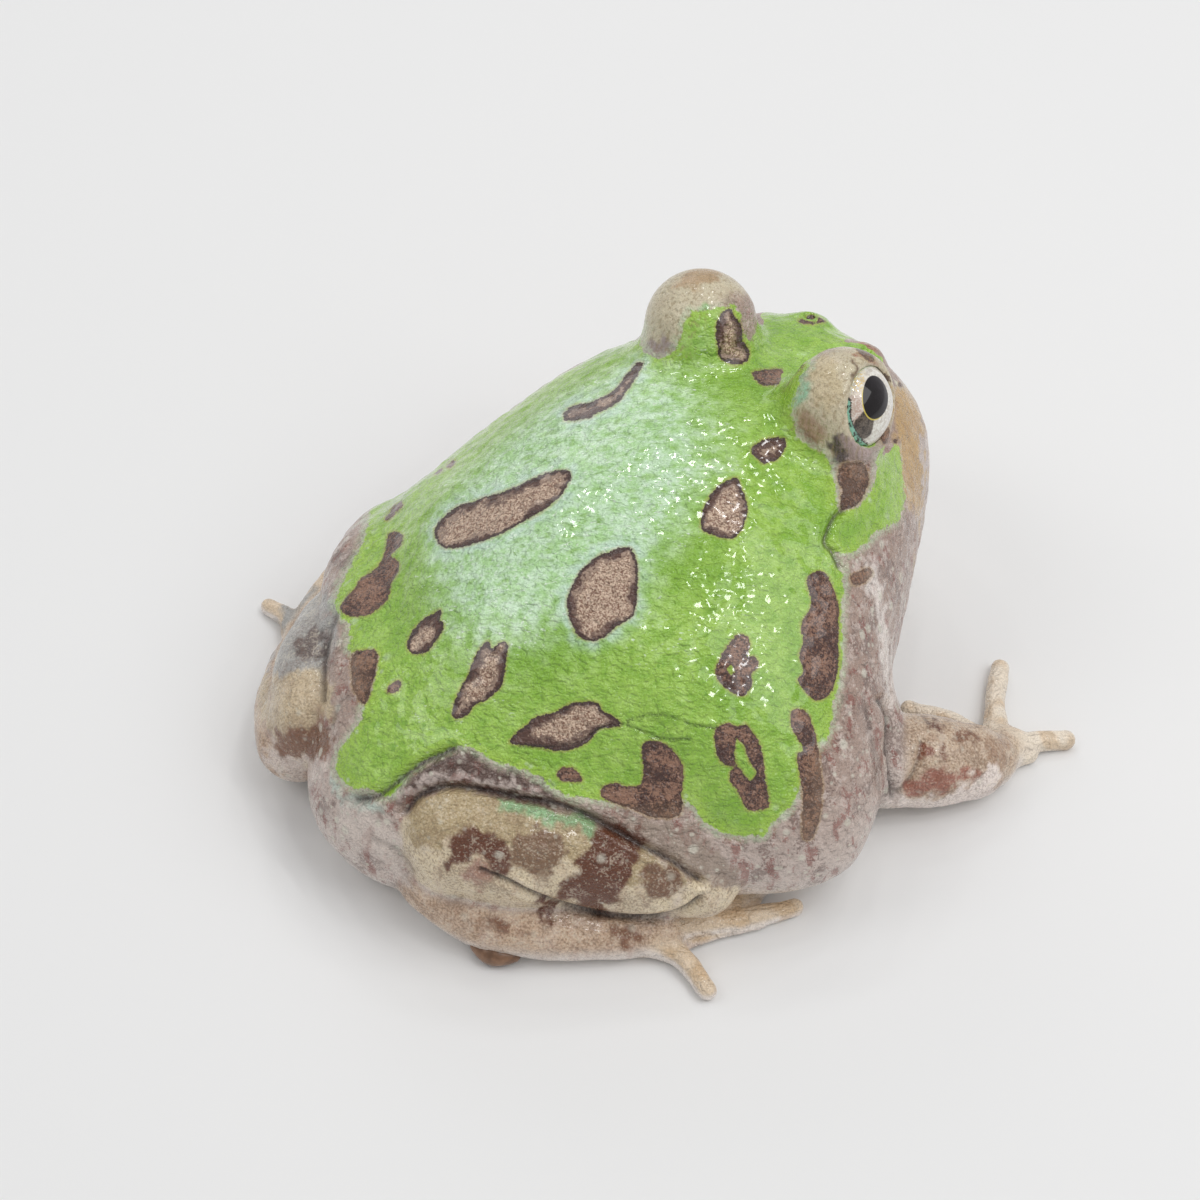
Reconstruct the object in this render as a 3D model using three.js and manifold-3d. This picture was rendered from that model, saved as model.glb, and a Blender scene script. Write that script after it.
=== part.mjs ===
// A horned frog at rest, life size, in millimetres: +Z up, the snout towards -Y, the frog's left side at +X.
// It squats with its hind legs folded under its flanks, its rump swung a little to the left.
import * as THREE from 'three';
import { mergeVertices } from 'three/addons/utils/BufferGeometryUtils.js';
import Module from 'manifold-3d';

const wasm = await Module();
wasm.setup();

// Driving sizes. Everything else is placed from these.
const GAP = 0.3; // what two touching parts keep between them
const SNOUT_Y = -46;
const VENT_Y = 32;
const RUMP_SWING = 0.0048; // sideways bend of the midline behind the waist, per mm of distance squared
const NECK_Y = -18; // where the head is parted from the torso
const NECK_SLOPE = 0.12; // the parting leans back towards the top

// Profiles of the trunk along Y, each as [y, value] knots of a smooth curve. The thighs fill what it lacks
// beside the rump.
const HALF_WIDTH_RIGHT = [[-46, 12], [-40, 14], [-34, 16.9], [-28, 20.3], [-22, 23.3], [-16, 27.2],
  [-10, 31.6], [-4, 34.8], [1, 35.4], [6, 32.6], [11, 26.5], [16, 20.5], [22, 15.5], [32, 10.5]];
const HALF_WIDTH_LEFT = [[-46, 12], [-40, 14], [-34, 17], [-28, 20.4], [-22, 23.8], [-16, 26.2], [-10, 28.2],
  [-4, 29.8], [1, 30.4], [6, 28.8], [11, 24], [16, 18.4], [22, 14.5], [32, 10.5]];
const TOP = [[-46, 27], [-40, 30.6], [-33, 31.9], [-26, 33.8], [-18, 34.6], [-10, 34.2], [-2, 32.8],
  [6, 30.4], [13, 27], [20, 22.4], [26, 18.6], [32, 14.5]];
const MIDDLE = [[-46, 16], [-38, 14.5], [-28, 12.6], [-18, 11], [-8, 9.6], [2, 9], [12, 8.6], [22, 8.2],
  [32, 7.5]];
const BOTTOM = [[-46, 8.5], [-40, 6], [-32, 3.4], [-24, 1.2], [-16, -0.3], [-8, -0.8], [4, -0.9], [16, -0.8],
  [26, -0.5], [32, 0]];
const SHARPNESS_TOP = [[-46, 2.3], [-36, 2.5], [-28, 2.5], [-20, 2.3], [-12, 1.95], [-2, 1.7], [10, 1.75],
  [22, 2], [32, 2.1]];
const SHARPNESS_BOTTOM = [[-46, 2.2], [-20, 2.4], [0, 2.6], [32, 2.6]];
const FRONT_CAP = 12; // length over which the snout closes
const REAR_CAP = 10;
const FRONT_CAP_POWER = 2.9;
const REAR_CAP_POWER = 2.2;

// Eyes. Each lid is a shell of skin round the ball, open where the ball looks out.
const EYE_RADIUS = 5.1;
const EYES = { left: [9.3, -27.8, 34], right: [-9.65, -28.1, 34.7] }; // the left one is drawn in a little
const LID_THICK = 0.8; // with the gap to the ball
// The way each opening faces, and how far out its edge lies as a share of the lid's radius: the left eye is
// half closed and looks lower.
const LIDS = {
  left: { facing: new THREE.Vector3(0.86, -0.5, -0.1).normalize(), edge: 0.72 },
  right: { facing: new THREE.Vector3(-0.9, -0.19, 0.39).normalize(), edge: 0.53 },
};

// Mouth: its line runs round the front of the head at a height that falls from the middle to the corners.
const MOUTH_Z = 15.2;
const MOUTH_DROP = 0.0042; // fall per mm squared behind the snout
const MOUTH_CORNER_Y = -27;
const MOUTH_OPENING = 0.7;
const MOUTH_DEPTH = 1.6;
const LIP_RADIUS = 1.2;
const LIP_SUNK = 0.42; // share of that radius by which the middle of the lip lies under the skin
const NOSTRIL = [3.8, -39.6];
const NOSTRIL_RADIUS = 0.75;
const NOSTRIL_RIM = 2; // radius of the low mound round each nostril
const NOSTRIL_RISE = 0.5; // how far the mound stands up

const WIDE = 160; // size of the blocks that cut the frog, more than it is long
const TRUNK_MESH = [42, 38]; // rings from snout to vent, sides round each
const BALL_MESH = [12, 18];

const clamp = THREE.MathUtils.clamp;

// Value at y of the smooth curve through the knots: cubic, with each knot's slope from its neighbours.
function profile(knots, y) {
  const last = knots.length - 1;
  if (y <= knots[0][0]) return knots[0][1];
  if (y >= knots[last][0]) return knots[last][1];
  const slope = (i) => {
    const a = knots[Math.max(i - 1, 0)];
    const b = knots[Math.min(i + 1, last)];
    return (b[1] - a[1]) / (b[0] - a[0]);
  };
  let i = 0;
  while (y > knots[i + 1][0]) i += 1;
  const span = knots[i + 1][0] - knots[i][0];
  const t = (y - knots[i][0]) / span;
  const t2 = t * t;
  const t3 = t2 * t;
  return (2 * t3 - 3 * t2 + 1) * knots[i][1] + (t3 - 2 * t2 + t) * span * slope(i)
    + (3 * t2 - 2 * t3) * knots[i + 1][1] + (t3 - t2) * span * slope(i + 1);
}

// Sideways place of the midline at y: straight in the head, swung to the left at the rump.
function midline(y) {
  return RUMP_SWING * Math.max(y, 0) ** 2;
}

// Share of the full section that is left at y, which falls to nothing at the snout and at the vent.
function closing(y) {
  const front = clamp((SNOUT_Y + FRONT_CAP - y) / FRONT_CAP, 0, 1);
  const rear = clamp((y - (VENT_Y - REAR_CAP)) / REAR_CAP, 0, 1);
  return Math.pow(1 - Math.pow(front, FRONT_CAP_POWER), 1 / FRONT_CAP_POWER)
    * Math.pow(1 - Math.pow(rear, REAR_CAP_POWER), 1 / REAR_CAP_POWER);
}

// Point of the trunk's surface at y, at angle a round the section (0 is the left side, 90 degrees the top),
// moved out by grow.
function trunkPoint(y, a, grow) {
  const part = closing(y);
  const middle = profile(MIDDLE, y);
  const up = Math.sin(a) >= 0;
  const height = up ? profile(TOP, y) - middle : middle - profile(BOTTOM, y);
  const width = profile(Math.cos(a) > 0 ? HALF_WIDTH_LEFT : HALF_WIDTH_RIGHT, y);
  const power = 2 / profile(up ? SHARPNESS_TOP : SHARPNESS_BOTTOM, y);
  const x = Math.sign(Math.cos(a)) * Math.pow(Math.abs(Math.cos(a)), power);
  const z = Math.sign(Math.sin(a)) * Math.pow(Math.abs(Math.sin(a)), power);
  return new THREE.Vector3(midline(y) + x * (width * part + grow), y, middle + z * (height * part + grow));
}

// A closed surface made from a sphere: place(u, v) says where the point goes that lies at share u from pole
// to pole and share v round.
function shaped(rings, sides, place) {
  const geometry = new THREE.SphereGeometry(1, sides, rings);
  const position = geometry.getAttribute('position');
  for (let i = 0; i < position.count; i += 1) {
    const ring = Math.floor(i / (sides + 1));
    const p = place(ring / rings, (i % (sides + 1)) / sides);
    position.setXYZ(i, p.x, p.y, p.z);
  }
  return geometry;
}

// The trunk, moved out by grow, or in where grow is below nothing.
function trunkGeometry(grow) {
  const start = SNOUT_Y - grow;
  const end = VENT_Y + grow;
  return shaped(...TRUNK_MESH, (u, v) => {
    const share = (1 - Math.cos(u * Math.PI)) / 2;
    const y = SNOUT_Y + (VENT_Y - SNOUT_Y) * share;
    const flare = Math.min(1, Math.sin(u * Math.PI) * 4); // the poles stay on the axis
    const p = trunkPoint(y, v * 2 * Math.PI, grow * flare);
    p.y = start + (end - start) * share;
    return p;
  });
}

// Distance from the upright axis at y = around to the trunk's side at height z, in the direction of angle a.
function reach(around, z, a) {
  let low = 0;
  let high = WIDE / 2;
  for (let step = 0; step < 30; step += 1) {
    const r = (low + high) / 2;
    const y = around + r * Math.sin(a);
    const part = y > SNOUT_Y && y < VENT_Y ? closing(y) : 0;
    const middle = profile(MIDDLE, y);
    const height = z > middle ? profile(TOP, y) - middle : middle - profile(BOTTOM, y);
    const width = profile(Math.cos(a) > 0 ? HALF_WIDTH_LEFT : HALF_WIDTH_RIGHT, y);
    const power = profile(z > middle ? SHARPNESS_TOP : SHARPNESS_BOTTOM, y);
    const x = Math.abs(r * Math.cos(a) - midline(y)) / (width * part + 1e-6);
    const up = Math.abs(z - middle) / (height * part + 1e-6);
    if (Math.pow(x, power) + Math.pow(up, power) < 1) low = r; else high = r;
  }
  return low;
}

// A limb: a tube along a smooth path of [x, y, z, radius] stations, closed by round ends and moved out by
// grow. A flat below 1 makes it lower than it is wide.
function limb(stations, rings, sides, grow = 0, flat = 1) {
  const points = stations.map((s) => new THREE.Vector3(s[0], s[1], s[2]));
  const path = new THREE.CatmullRomCurve3(points, false, 'centripetal');
  const last = stations.length - 1;
  const radiusAt = (t) => {
    const k = clamp(t, 0, 1) * last;
    const i = Math.min(Math.floor(k), last - 1);
    const f = k - i;
    const w = f * f * (3 - 2 * f);
    return stations[i][3] * (1 - w) + stations[i + 1][3] * w + grow;
  };
  const capShare = 0.22;
  return shaped(rings, sides, (u, v) => {
    const t = clamp((u - capShare) / (1 - 2 * capShare), 0, 1);
    const beyond = u < capShare ? -1 : 1;
    const lean = u < capShare ? 1 - u / capShare : Math.max(0, 1 - (1 - u) / capShare);
    const bend = lean * Math.PI / 2;
    const centre = path.getPoint(t);
    const way = path.getTangent(t);
    const radius = radiusAt(t) * Math.cos(bend);
    centre.addScaledVector(way, beyond * radiusAt(t) * Math.sin(bend));
    const side = new THREE.Vector3(0, 0, 1).cross(way).normalize();
    const up = way.clone().cross(side).normalize();
    const a = v * 2 * Math.PI;
    centre.addScaledVector(side, -Math.cos(a) * radius);
    return centre.addScaledVector(up, Math.sin(a) * radius * flat);
  });
}

// The geometry as a manifold solid, with its shared points merged and its faces pointing out.
function solid(geometry) {
  const bare = geometry.clone();
  bare.deleteAttribute('normal');
  bare.deleteAttribute('uv');
  const merged = mergeVertices(bare, 1e-4);
  const corners = new Uint32Array(merged.index.array);
  const make = () => new wasm.Manifold(new wasm.Mesh({
    numProp: 3,
    vertProperties: merged.getAttribute('position').array,
    triVerts: corners,
  }));
  const made = make();
  if (made.volume() > 0) return made;
  for (let i = 0; i < corners.length; i += 3) {
    [corners[i + 1], corners[i + 2]] = [corners[i + 2], corners[i + 1]];
  }
  return make();
}

function joined(solids) {
  return solids.reduce((all, next) => all.add(next));
}

function ball(place, radius, [rings, sides] = BALL_MESH) {
  const geometry = new THREE.SphereGeometry(radius, sides, rings);
  geometry.translate(...place);
  return solid(geometry);
}

// A box from its lowest to its highest corner.
function block(low, high) {
  const size = high.map((value, k) => value - low[k]);
  const geometry = new THREE.BoxGeometry(...size);
  geometry.translate(...high.map((value, k) => (value + low[k]) / 2));
  return solid(geometry);
}

// Height of the mouth's line at y.
function mouthZ(y) {
  return MOUTH_Z - MOUTH_DROP * (y - SNOUT_Y) ** 2;
}

// A sheet from side to side along the mouth's line, as thick as the opening, which ends at the corners.
function mouthSheet() {
  const front = SNOUT_Y - 6;
  const steps = 10;
  const upper = [];
  const lower = [];
  for (let i = 0; i <= steps; i += 1) {
    const y = front + (MOUTH_CORNER_Y - front) * i / steps;
    const thick = MOUTH_OPENING / 2 * (i === steps ? 0.3 : 1);
    upper.push(new THREE.Vector2(y, mouthZ(y) + thick));
    lower.unshift(new THREE.Vector2(y, mouthZ(y) - thick));
  }
  const outline = new THREE.Shape([...upper, ...lower]);
  const geometry = new THREE.ExtrudeGeometry(outline, { depth: WIDE, bevelEnabled: false });
  // The outline's x and y become the frog's y and z, and the extrusion runs across it.
  geometry.applyMatrix4(new THREE.Matrix4().makeBasis(
    new THREE.Vector3(0, 1, 0), new THREE.Vector3(0, 0, 1), new THREE.Vector3(1, 0, 0),
  ));
  geometry.translate(-WIDE / 2, 0, 0);
  return solid(geometry);
}

// A rounded lip that follows the mouth's line at a height above it, partly sunk in the head.
function lip(above) {
  const around = MOUTH_CORNER_Y - 1;
  const stations = [];
  const steps = 12;
  for (let i = 0; i <= steps; i += 1) {
    const a = -Math.PI * (i / steps);
    const end = i === 0 || i === steps;
    let z = MOUTH_Z + above;
    for (let pass = 0; pass < 4; pass += 1) z = mouthZ(around + reach(around, z, a) * Math.sin(a)) + above;
    const r = reach(around, z, a) - LIP_RADIUS * (end ? 0.9 : LIP_SUNK);
    stations.push([r * Math.cos(a), around + r * Math.sin(a), z, LIP_RADIUS * (end ? 0.7 : 1)]);
  }
  return solid(limb(stations, 22, 6));
}

// Height of the top of the trunk at a place on it.
function topAt(x, y) {
  const part = closing(y);
  const middle = profile(MIDDLE, y);
  const width = profile(x > 0 ? HALF_WIDTH_LEFT : HALF_WIDTH_RIGHT, y) * part;
  const power = profile(SHARPNESS_TOP, y);
  const share = Math.pow(1 - Math.pow(Math.abs(x - midline(y)) / width, power), 1 / power);
  return middle + (profile(TOP, y) - middle) * part * share;
}

// Arms, as [x, y, z, radius] stations of the right one. The left one is its mirror image, moved by a shift.
const UPPER_ARM = [[-16.5, -15, 11.5, 5.6], [-23, -13.6, 8.8, 5.7], [-28, -12.8, 6, 5]];
const FOREARM = [[-27.6, -13.4, 5.5, 4.9], [-31.6, -17, 5, 4.9], [-34.6, -20.6, 4, 4.1],
  [-35.8, -23, 3.1, 3.1]];
const PALM = [[-35.6, -23.8, 2.2, 2.7], [-35.2, -26.6, 1.5, 2.5]];
const FINGERS = [
  [[-34.4, -25.4, 1.4, 1.5], [-29.4, -25.8, 1, 1.1], [-24.4, -24.4, 0.8, 1]],
  [[-34, -27, 1.4, 1.5], [-30.9, -31.2, 1.1, 1.1], [-28.3, -35.4, 0.8, 1.05]],
  [[-35.8, -27.2, 1.4, 1.5], [-37.6, -30, 1.1, 1.1], [-39.4, -32.2, 0.8, 1.1]],
  [[-36.4, -25.8, 1.4, 1.5], [-37.2, -27, 1, 1], [-37.8, -28, 0.8, 0.9]],
];
const LEFT_ARM_SHIFT = [-5.5, -2];

// Hind legs, as stations from the hip or the heel.
const LEGS = {
  right: {
    thigh: [[3.4, 22.6, 7.4, 9.6], [-7, 15.6, 11.6, 8.2], [-15.5, 12.2, 10.6, 7], [-23.4, 8.4, 8.8, 5.2]],
    shank: [[-5.2, 24.6, 10.4, 6.6], [-9.4, 22, 10.4, 6.7], [-14.2, 18.2, 9.9, 6.2], [-20, 14.6, 8.6, 5.3],
      [-25, 11, 6.8, 4]],
    tarsus: [[-4.4, 27.4, 5.2, 4.3], [-8.8, 27.2, 4, 3.9], [-14.8, 24.6, 3.1, 3.3], [-20.6, 20, 2.4, 2.6],
      [-24.4, 16, 1.8, 2.1]],
    toes: [
      [[-22.6, 17.6, 1.6, 1.6], [-27.6, 16.6, 1.2, 1.2], [-31.8, 17.6, 0.8, 1]],
      [[-24.6, 14.6, 1.6, 1.5], [-29, 8.8, 1.1, 1.15], [-31.8, 4, 0.8, 1]],
      [[-24, 14, 1.6, 1.5], [-27, 7, 1.1, 1.15], [-28.6, -0.6, 0.8, 1]],
      [[-23, 14, 1.6, 1.5], [-24.4, 6, 1.1, 1.15], [-24.4, -3.4, 0.8, 1]],
      [[-22, 14.4, 1.6, 1.5], [-21.4, 8.6, 1.1, 1.1], [-20, 2.6, 0.8, 1]],
    ],
    spade: [[-10.4, 29.4, 1.3, 0.7], [-13, 29, 1.2, 1.15], [-15.4, 27.4, 1.2, 0.6]],
  },
  left: {
    thigh: [[9.6, 17.6, 12, 8.8], [15.8, 13.2, 12.4, 7.9], [21.5, 8.3, 12.2, 7], [25.8, 3.3, 10.6, 5.6]],
    shank: [[16.6, 22.8, 9, 5.6], [20.2, 18.6, 9.2, 5.8], [22.8, 13.6, 8.6, 5.5], [24.4, 8.2, 7.4, 4.8],
      [25.6, 2.6, 6.2, 3.9]],
    tarsus: [[18.6, 25, 5.4, 4.4], [22.8, 22.2, 4, 3.9], [26.6, 17.8, 3.1, 3.3], [29.4, 13.4, 2.4, 2.6],
      [31.6, 10, 1.8, 2.1]],
    toes: [
      [[31.6, 13, 1.6, 1.6], [34.6, 11.6, 1.2, 1.2], [37.4, 11.6, 0.8, 1]],
      [[33, 9.6, 1.6, 1.5], [35, 4.4, 1.1, 1.15], [35.6, -0.6, 0.8, 1]],
      [[32.6, 9, 1.6, 1.5], [32.6, 2, 1.1, 1.15], [31.6, -5, 0.8, 1]],
      [[31.8, 8.6, 1.6, 1.5], [29.8, 1, 1.1, 1.15], [27.4, -7, 0.8, 1]],
      [[30.6, 9, 1.6, 1.5], [27.2, 3.6, 1.1, 1.1], [24.4, -1.6, 0.8, 1]],
    ],
    spade: [[21.6, 25, 1.3, 0.7], [23.8, 23.4, 1.2, 1.15], [25.4, 21.2, 1.2, 0.6]],
  },
};
const WEB_THICK = 0.9;
const WEB_ABOVE_FLOOR = 0.3;
const WEB_SHARE = 0.62; // how far along the toes the web reaches
const FIRST_WEB_SHARE = 0.3; // the same on the inner toe, which is nearly free
const WEB_DIP = 0.7; // how far the rim reaches between two toes, as a share of that

// Web between the toes: a flat fan from their roots, scalloped between one toe and the next.
function web(toes, grow) {
  const at = (toe, share) => {
    const points = toe.map((s) => new THREE.Vector3(s[0], s[1], s[2]));
    return new THREE.CatmullRomCurve3(points, false, 'centripetal').getPoint(share);
  };
  const rim = [];
  toes.forEach((toe, i) => {
    if (i > 0) {
      const dip = at(toes[i - 1], WEB_SHARE * WEB_DIP).lerp(at(toe, WEB_SHARE * WEB_DIP), 0.5);
      rim.push(new THREE.Vector2(dip.x, dip.y));
    }
    const tip = at(toe, i === 0 ? FIRST_WEB_SHARE : WEB_SHARE);
    rim.push(new THREE.Vector2(tip.x, tip.y));
  });
  const root = at(toes[toes.length - 1], 0);
  const start = at(toes[0], 0);
  rim.push(new THREE.Vector2(root.x, root.y), new THREE.Vector2(start.x, start.y));
  const depth = WEB_THICK + 2 * grow;
  const geometry = new THREE.ExtrudeGeometry(new THREE.Shape(rim), { depth, bevelEnabled: false });
  geometry.translate(0, 0, WEB_ABOVE_FLOOR - grow);
  return solid(geometry);
}

// The stations as they are for the right arm, or mirrored and shifted for the left one.
function armFor(side, stations) {
  if (side === 'right') return stations;
  return stations.map(([x, y, z, r]) => [-x + LEFT_ARM_SHIFT[0], y + LEFT_ARM_SHIFT[1], z, r]);
}

// Each limb piece as a function of how far it is moved out, in the order in which they cut those after them.
const limbs = [];
for (const side of ['left', 'right']) {
  const leg = LEGS[side];
  limbs.push(['spade_' + side, '#4c382c', (grow) => solid(limb(leg.spade, 8, 10, grow))]);
  limbs.push(['foot_' + side, '#b79c84', (grow) => joined([
    solid(limb(leg.tarsus, 12, 12, grow)),
    web(leg.toes, grow),
    ...leg.toes.map((toe) => solid(limb(toe, 7, 6, grow))),
  ])]);
  limbs.push(['hand_' + side, '#c4ab8c', (grow) => joined([
    solid(limb(armFor(side, PALM), 8, 10, grow, 0.8)),
    ...FINGERS.map((finger) => solid(limb(armFor(side, finger), 7, 6, grow))),
  ])]);
  limbs.push(['forearm_' + side, '#b4958a', (grow) => solid(limb(armFor(side, FOREARM), 12, 12, grow))]);
  limbs.push(['upper_arm_' + side, '#b4958a', (grow) => solid(limb(armFor(side, UPPER_ARM), 10, 12, grow))]);
  limbs.push(['shank_' + side, '#a98f74', (grow) => solid(limb(leg.shank, 14, 14, grow))]);
  limbs.push(['thigh_' + side, '#a48f96', (grow) => solid(limb(leg.thigh, 12, 14, grow))]);
}

// One eye's lids: a ball of skin cut off flat where the eye looks out.
function lid(side) {
  const place = new THREE.Vector3(...EYES[side]);
  const { facing, edge } = LIDS[side];
  const radius = EYE_RADIUS + LID_THICK;
  const size = 3 * radius;
  const outside = new THREE.BoxGeometry(size, size, size);
  outside.translate(0, 0, size / 2 + edge * radius);
  outside.applyQuaternion(new THREE.Quaternion().setFromUnitVectors(new THREE.Vector3(0, 0, 1), facing));
  outside.translate(place.x, place.y, place.z);
  return ball(place.toArray(), radius).subtract(solid(outside));
}

// The whole head and torso in one, with the lids, the lips and the cuts of eyes, nostrils and mouth.
function trunk() {
  const lids = ['left', 'right'].map(lid);
  const lips = [LIP_RADIUS * 0.8, -LIP_RADIUS * 0.95].map(lip);
  const nostrilAt = (sign) => {
    const x = sign * NOSTRIL[0];
    return [x, NOSTRIL[1], topAt(x, NOSTRIL[1]) + NOSTRIL_RISE];
  };
  const mounds = [1, -1].map((sign) => {
    const [x, y, z] = nostrilAt(sign);
    return ball([x, y, z - NOSTRIL_RIM], NOSTRIL_RIM, [6, 10]);
  });
  const body = joined([solid(trunkGeometry(0)), ...lids, ...lips, ...mounds]);
  const sockets = Object.values(EYES).map((place) => ball(place, EYE_RADIUS + GAP));
  const nostrils = [1, -1].map((sign) => ball(nostrilAt(sign), NOSTRIL_RADIUS, [6, 8]));
  const mouth = mouthSheet().subtract(solid(trunkGeometry(-MOUTH_DEPTH)));
  return body.subtract(joined([...sockets, ...nostrils, mouth]));
}

// What lies behind the parting of head and torso, moved back by back.
function behindNeck(back) {
  const geometry = new THREE.BoxGeometry(WIDE, WIDE, WIDE);
  geometry.translate(0, WIDE / 2, 0);
  geometry.rotateX(-Math.atan(NECK_SLOPE));
  geometry.translate(0, NECK_Y + back, MOUTH_Z);
  return solid(geometry);
}

function largest(shape) {
  const pieces = shape.decompose();
  return pieces.reduce((best, next) => (next.volume() > best.volume() ? next : best));
}

function geometryOf(manifold) {
  const mesh = manifold.getMesh();
  const points = new Float32Array(mesh.numVert * 3);
  for (let i = 0; i < mesh.numVert; i += 1) {
    for (let k = 0; k < 3; k += 1) points[3 * i + k] = mesh.vertProperties[i * mesh.numProp + k];
  }
  const geometry = new THREE.BufferGeometry();
  geometry.setAttribute('position', new THREE.BufferAttribute(points, 3));
  geometry.setIndex(new THREE.BufferAttribute(new Uint32Array(mesh.triVerts), 1));
  return geometry;
}

const frog = new THREE.Group();
const floor = block([-WIDE / 2, -WIDE / 2, -WIDE / 2], [WIDE / 2, WIDE / 2, 0]);

function add(name, shape, colour, roughness = 0.5) {
  const material = new THREE.MeshStandardMaterial({ color: colour, roughness, metalness: 0 });
  const mesh = new THREE.Mesh(geometryOf(largest(shape.subtract(floor))), material);
  mesh.name = name;
  frog.add(mesh);
}

// Each limb piece is cleared of those before it by the gap.
let taken = null;
for (const [name, colour, make] of limbs) {
  const whole = make(0);
  add(name, taken ? whole.subtract(taken) : whole, colour);
  const grown = make(GAP);
  taken = taken ? taken.add(grown) : grown;
}

const body = trunk().subtract(taken);
add('head', body.subtract(behindNeck(-GAP / 2)), '#86c24e');
add('torso', body.intersect(behindNeck(GAP / 2)), '#8cc850');

for (const [side, place] of Object.entries(EYES)) {
  add('eye_' + side, ball(place, EYE_RADIUS), '#d8d4c6', 0.1);
}

// The origin is the centre of the box's bottom.
const box = new THREE.Box3().setFromObject(frog);
const middle = box.getCenter(new THREE.Vector3());
frog.position.set(-middle.x, -middle.y, 0);

export default frog;
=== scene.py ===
import math
import bpy
import numpy as np
import openvdb
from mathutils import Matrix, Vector, noise


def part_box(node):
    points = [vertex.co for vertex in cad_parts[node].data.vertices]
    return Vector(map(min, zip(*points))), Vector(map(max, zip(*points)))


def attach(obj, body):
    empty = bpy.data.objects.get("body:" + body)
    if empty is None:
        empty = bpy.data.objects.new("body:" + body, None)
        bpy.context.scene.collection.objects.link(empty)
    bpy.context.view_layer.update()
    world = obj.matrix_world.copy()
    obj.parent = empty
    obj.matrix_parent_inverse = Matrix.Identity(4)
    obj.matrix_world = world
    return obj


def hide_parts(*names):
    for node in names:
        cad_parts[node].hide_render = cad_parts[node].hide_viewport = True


# A horned frog at rest. Shapes are worked out in the frog's own frame, in millimetres: +Z up, the snout
# towards -Y, its left side at +X. They are moved to the model's frame, in metres, when they become objects.
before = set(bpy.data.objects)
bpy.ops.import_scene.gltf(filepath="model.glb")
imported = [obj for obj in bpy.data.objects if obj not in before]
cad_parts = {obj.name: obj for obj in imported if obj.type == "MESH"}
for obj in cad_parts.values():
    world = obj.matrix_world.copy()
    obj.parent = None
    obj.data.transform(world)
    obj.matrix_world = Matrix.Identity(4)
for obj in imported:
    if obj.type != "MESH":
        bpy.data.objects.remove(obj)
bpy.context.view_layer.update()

# Driving sizes, in millimetres, as the solids have them.
SNOUT_Y = -46.0
VENT_Y = 32.0
RUMP_SWING = 0.0048
HALF_WIDTH_RIGHT = [(-46, 12), (-40, 14), (-34, 16.9), (-28, 20.3), (-22, 23.3), (-16, 27.2), (-10, 31.6),
                    (-4, 34.8), (1, 35.4), (6, 32.6), (11, 26.5), (16, 20.5), (22, 15.5), (32, 10.5)]
HALF_WIDTH_LEFT = [(-46, 12), (-40, 14), (-34, 17), (-28, 20.4), (-22, 23.8), (-16, 26.2), (-10, 28.2),
                   (-4, 29.8), (1, 30.4), (6, 28.8), (11, 24), (16, 18.4), (22, 14.5), (32, 10.5)]
TOP = [(-46, 27), (-40, 30.6), (-33, 31.9), (-26, 33.8), (-18, 34.6), (-10, 34.2), (-2, 32.8), (6, 30.4),
       (13, 27), (20, 22.4), (26, 18.6), (32, 14.5)]
MIDDLE = [(-46, 16), (-38, 14.5), (-28, 12.6), (-18, 11), (-8, 9.6), (2, 9), (12, 8.6), (22, 8.2), (32, 7.5)]
BOTTOM = [(-46, 8.5), (-40, 6), (-32, 3.4), (-24, 1.2), (-16, -0.3), (-8, -0.8), (4, -0.9), (16, -0.8),
          (26, -0.5), (32, 0)]
SHARPNESS_TOP = [(-46, 2.3), (-36, 2.5), (-28, 2.5), (-20, 2.3), (-12, 1.95), (-2, 1.7), (10, 1.75),
                 (22, 2), (32, 2.1)]
SHARPNESS_BOTTOM = [(-46, 2.2), (-20, 2.4), (0, 2.6), (32, 2.6)]
FRONT_CAP, FRONT_CAP_POWER = 12.0, 2.9
REAR_CAP, REAR_CAP_POWER = 10.0, 2.2

EYE_RADIUS = 5.1
EYES = {1: np.array([9.3, -27.8, 34.0]), -1: np.array([-9.65, -28.1, 34.7])}  # left and right
LID_THICK, LID_RIM, LID_BLEND = 0.8, 0.42, 3.4
# The way each opening faces, how far out its edge lies as a share of the lid's radius, and the way the eye
# looks.
LIDS = {
    1: ((0.86, -0.5, -0.1), 0.72, (0.84, -0.45, 0.12)),
    -1: ((-0.9, -0.19, 0.39), 0.53, (-0.743, -0.087, 0.664)),
}

MOUTH_Z = 15.2
MOUTH_DROP = 0.0042
MOUTH_CORNER_Y = -27.0
GROOVE_HALF_HEIGHT, GROOVE_DEPTH = 0.28, 1.5
NOSTRIL = (3.8, -39.6)
NOSTRIL_RIM, NOSTRIL_RISE, NOSTRIL_RADIUS = 2.0, 0.5, 0.62

UPPER_ARM = [(-16.5, -15, 11.5, 5.6), (-23, -13.6, 8.8, 5.7), (-28, -12.8, 6, 5)]
FOREARM = [(-27.6, -13.4, 5.5, 4.9), (-31.6, -17, 5, 4.9), (-34.6, -20.6, 4, 4.1), (-35.8, -23, 3.1, 3.1)]
PALM = [(-35.6, -23.8, 2.2, 2.7), (-35.2, -26.6, 1.5, 2.5)]
FINGERS = [
    [(-34.4, -25.4, 1.4, 1.5), (-29.4, -25.8, 1, 1.1), (-24.4, -24.4, 0.8, 1)],
    [(-34, -27, 1.4, 1.5), (-30.9, -31.2, 1.1, 1.1), (-28.3, -35.4, 0.8, 1.05)],
    [(-35.8, -27.2, 1.4, 1.5), (-37.6, -30, 1.1, 1.1), (-39.4, -32.2, 0.8, 1.1)],
    [(-36.4, -25.8, 1.4, 1.5), (-37.2, -27, 1, 1), (-37.8, -28, 0.8, 0.9)],
]
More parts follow.
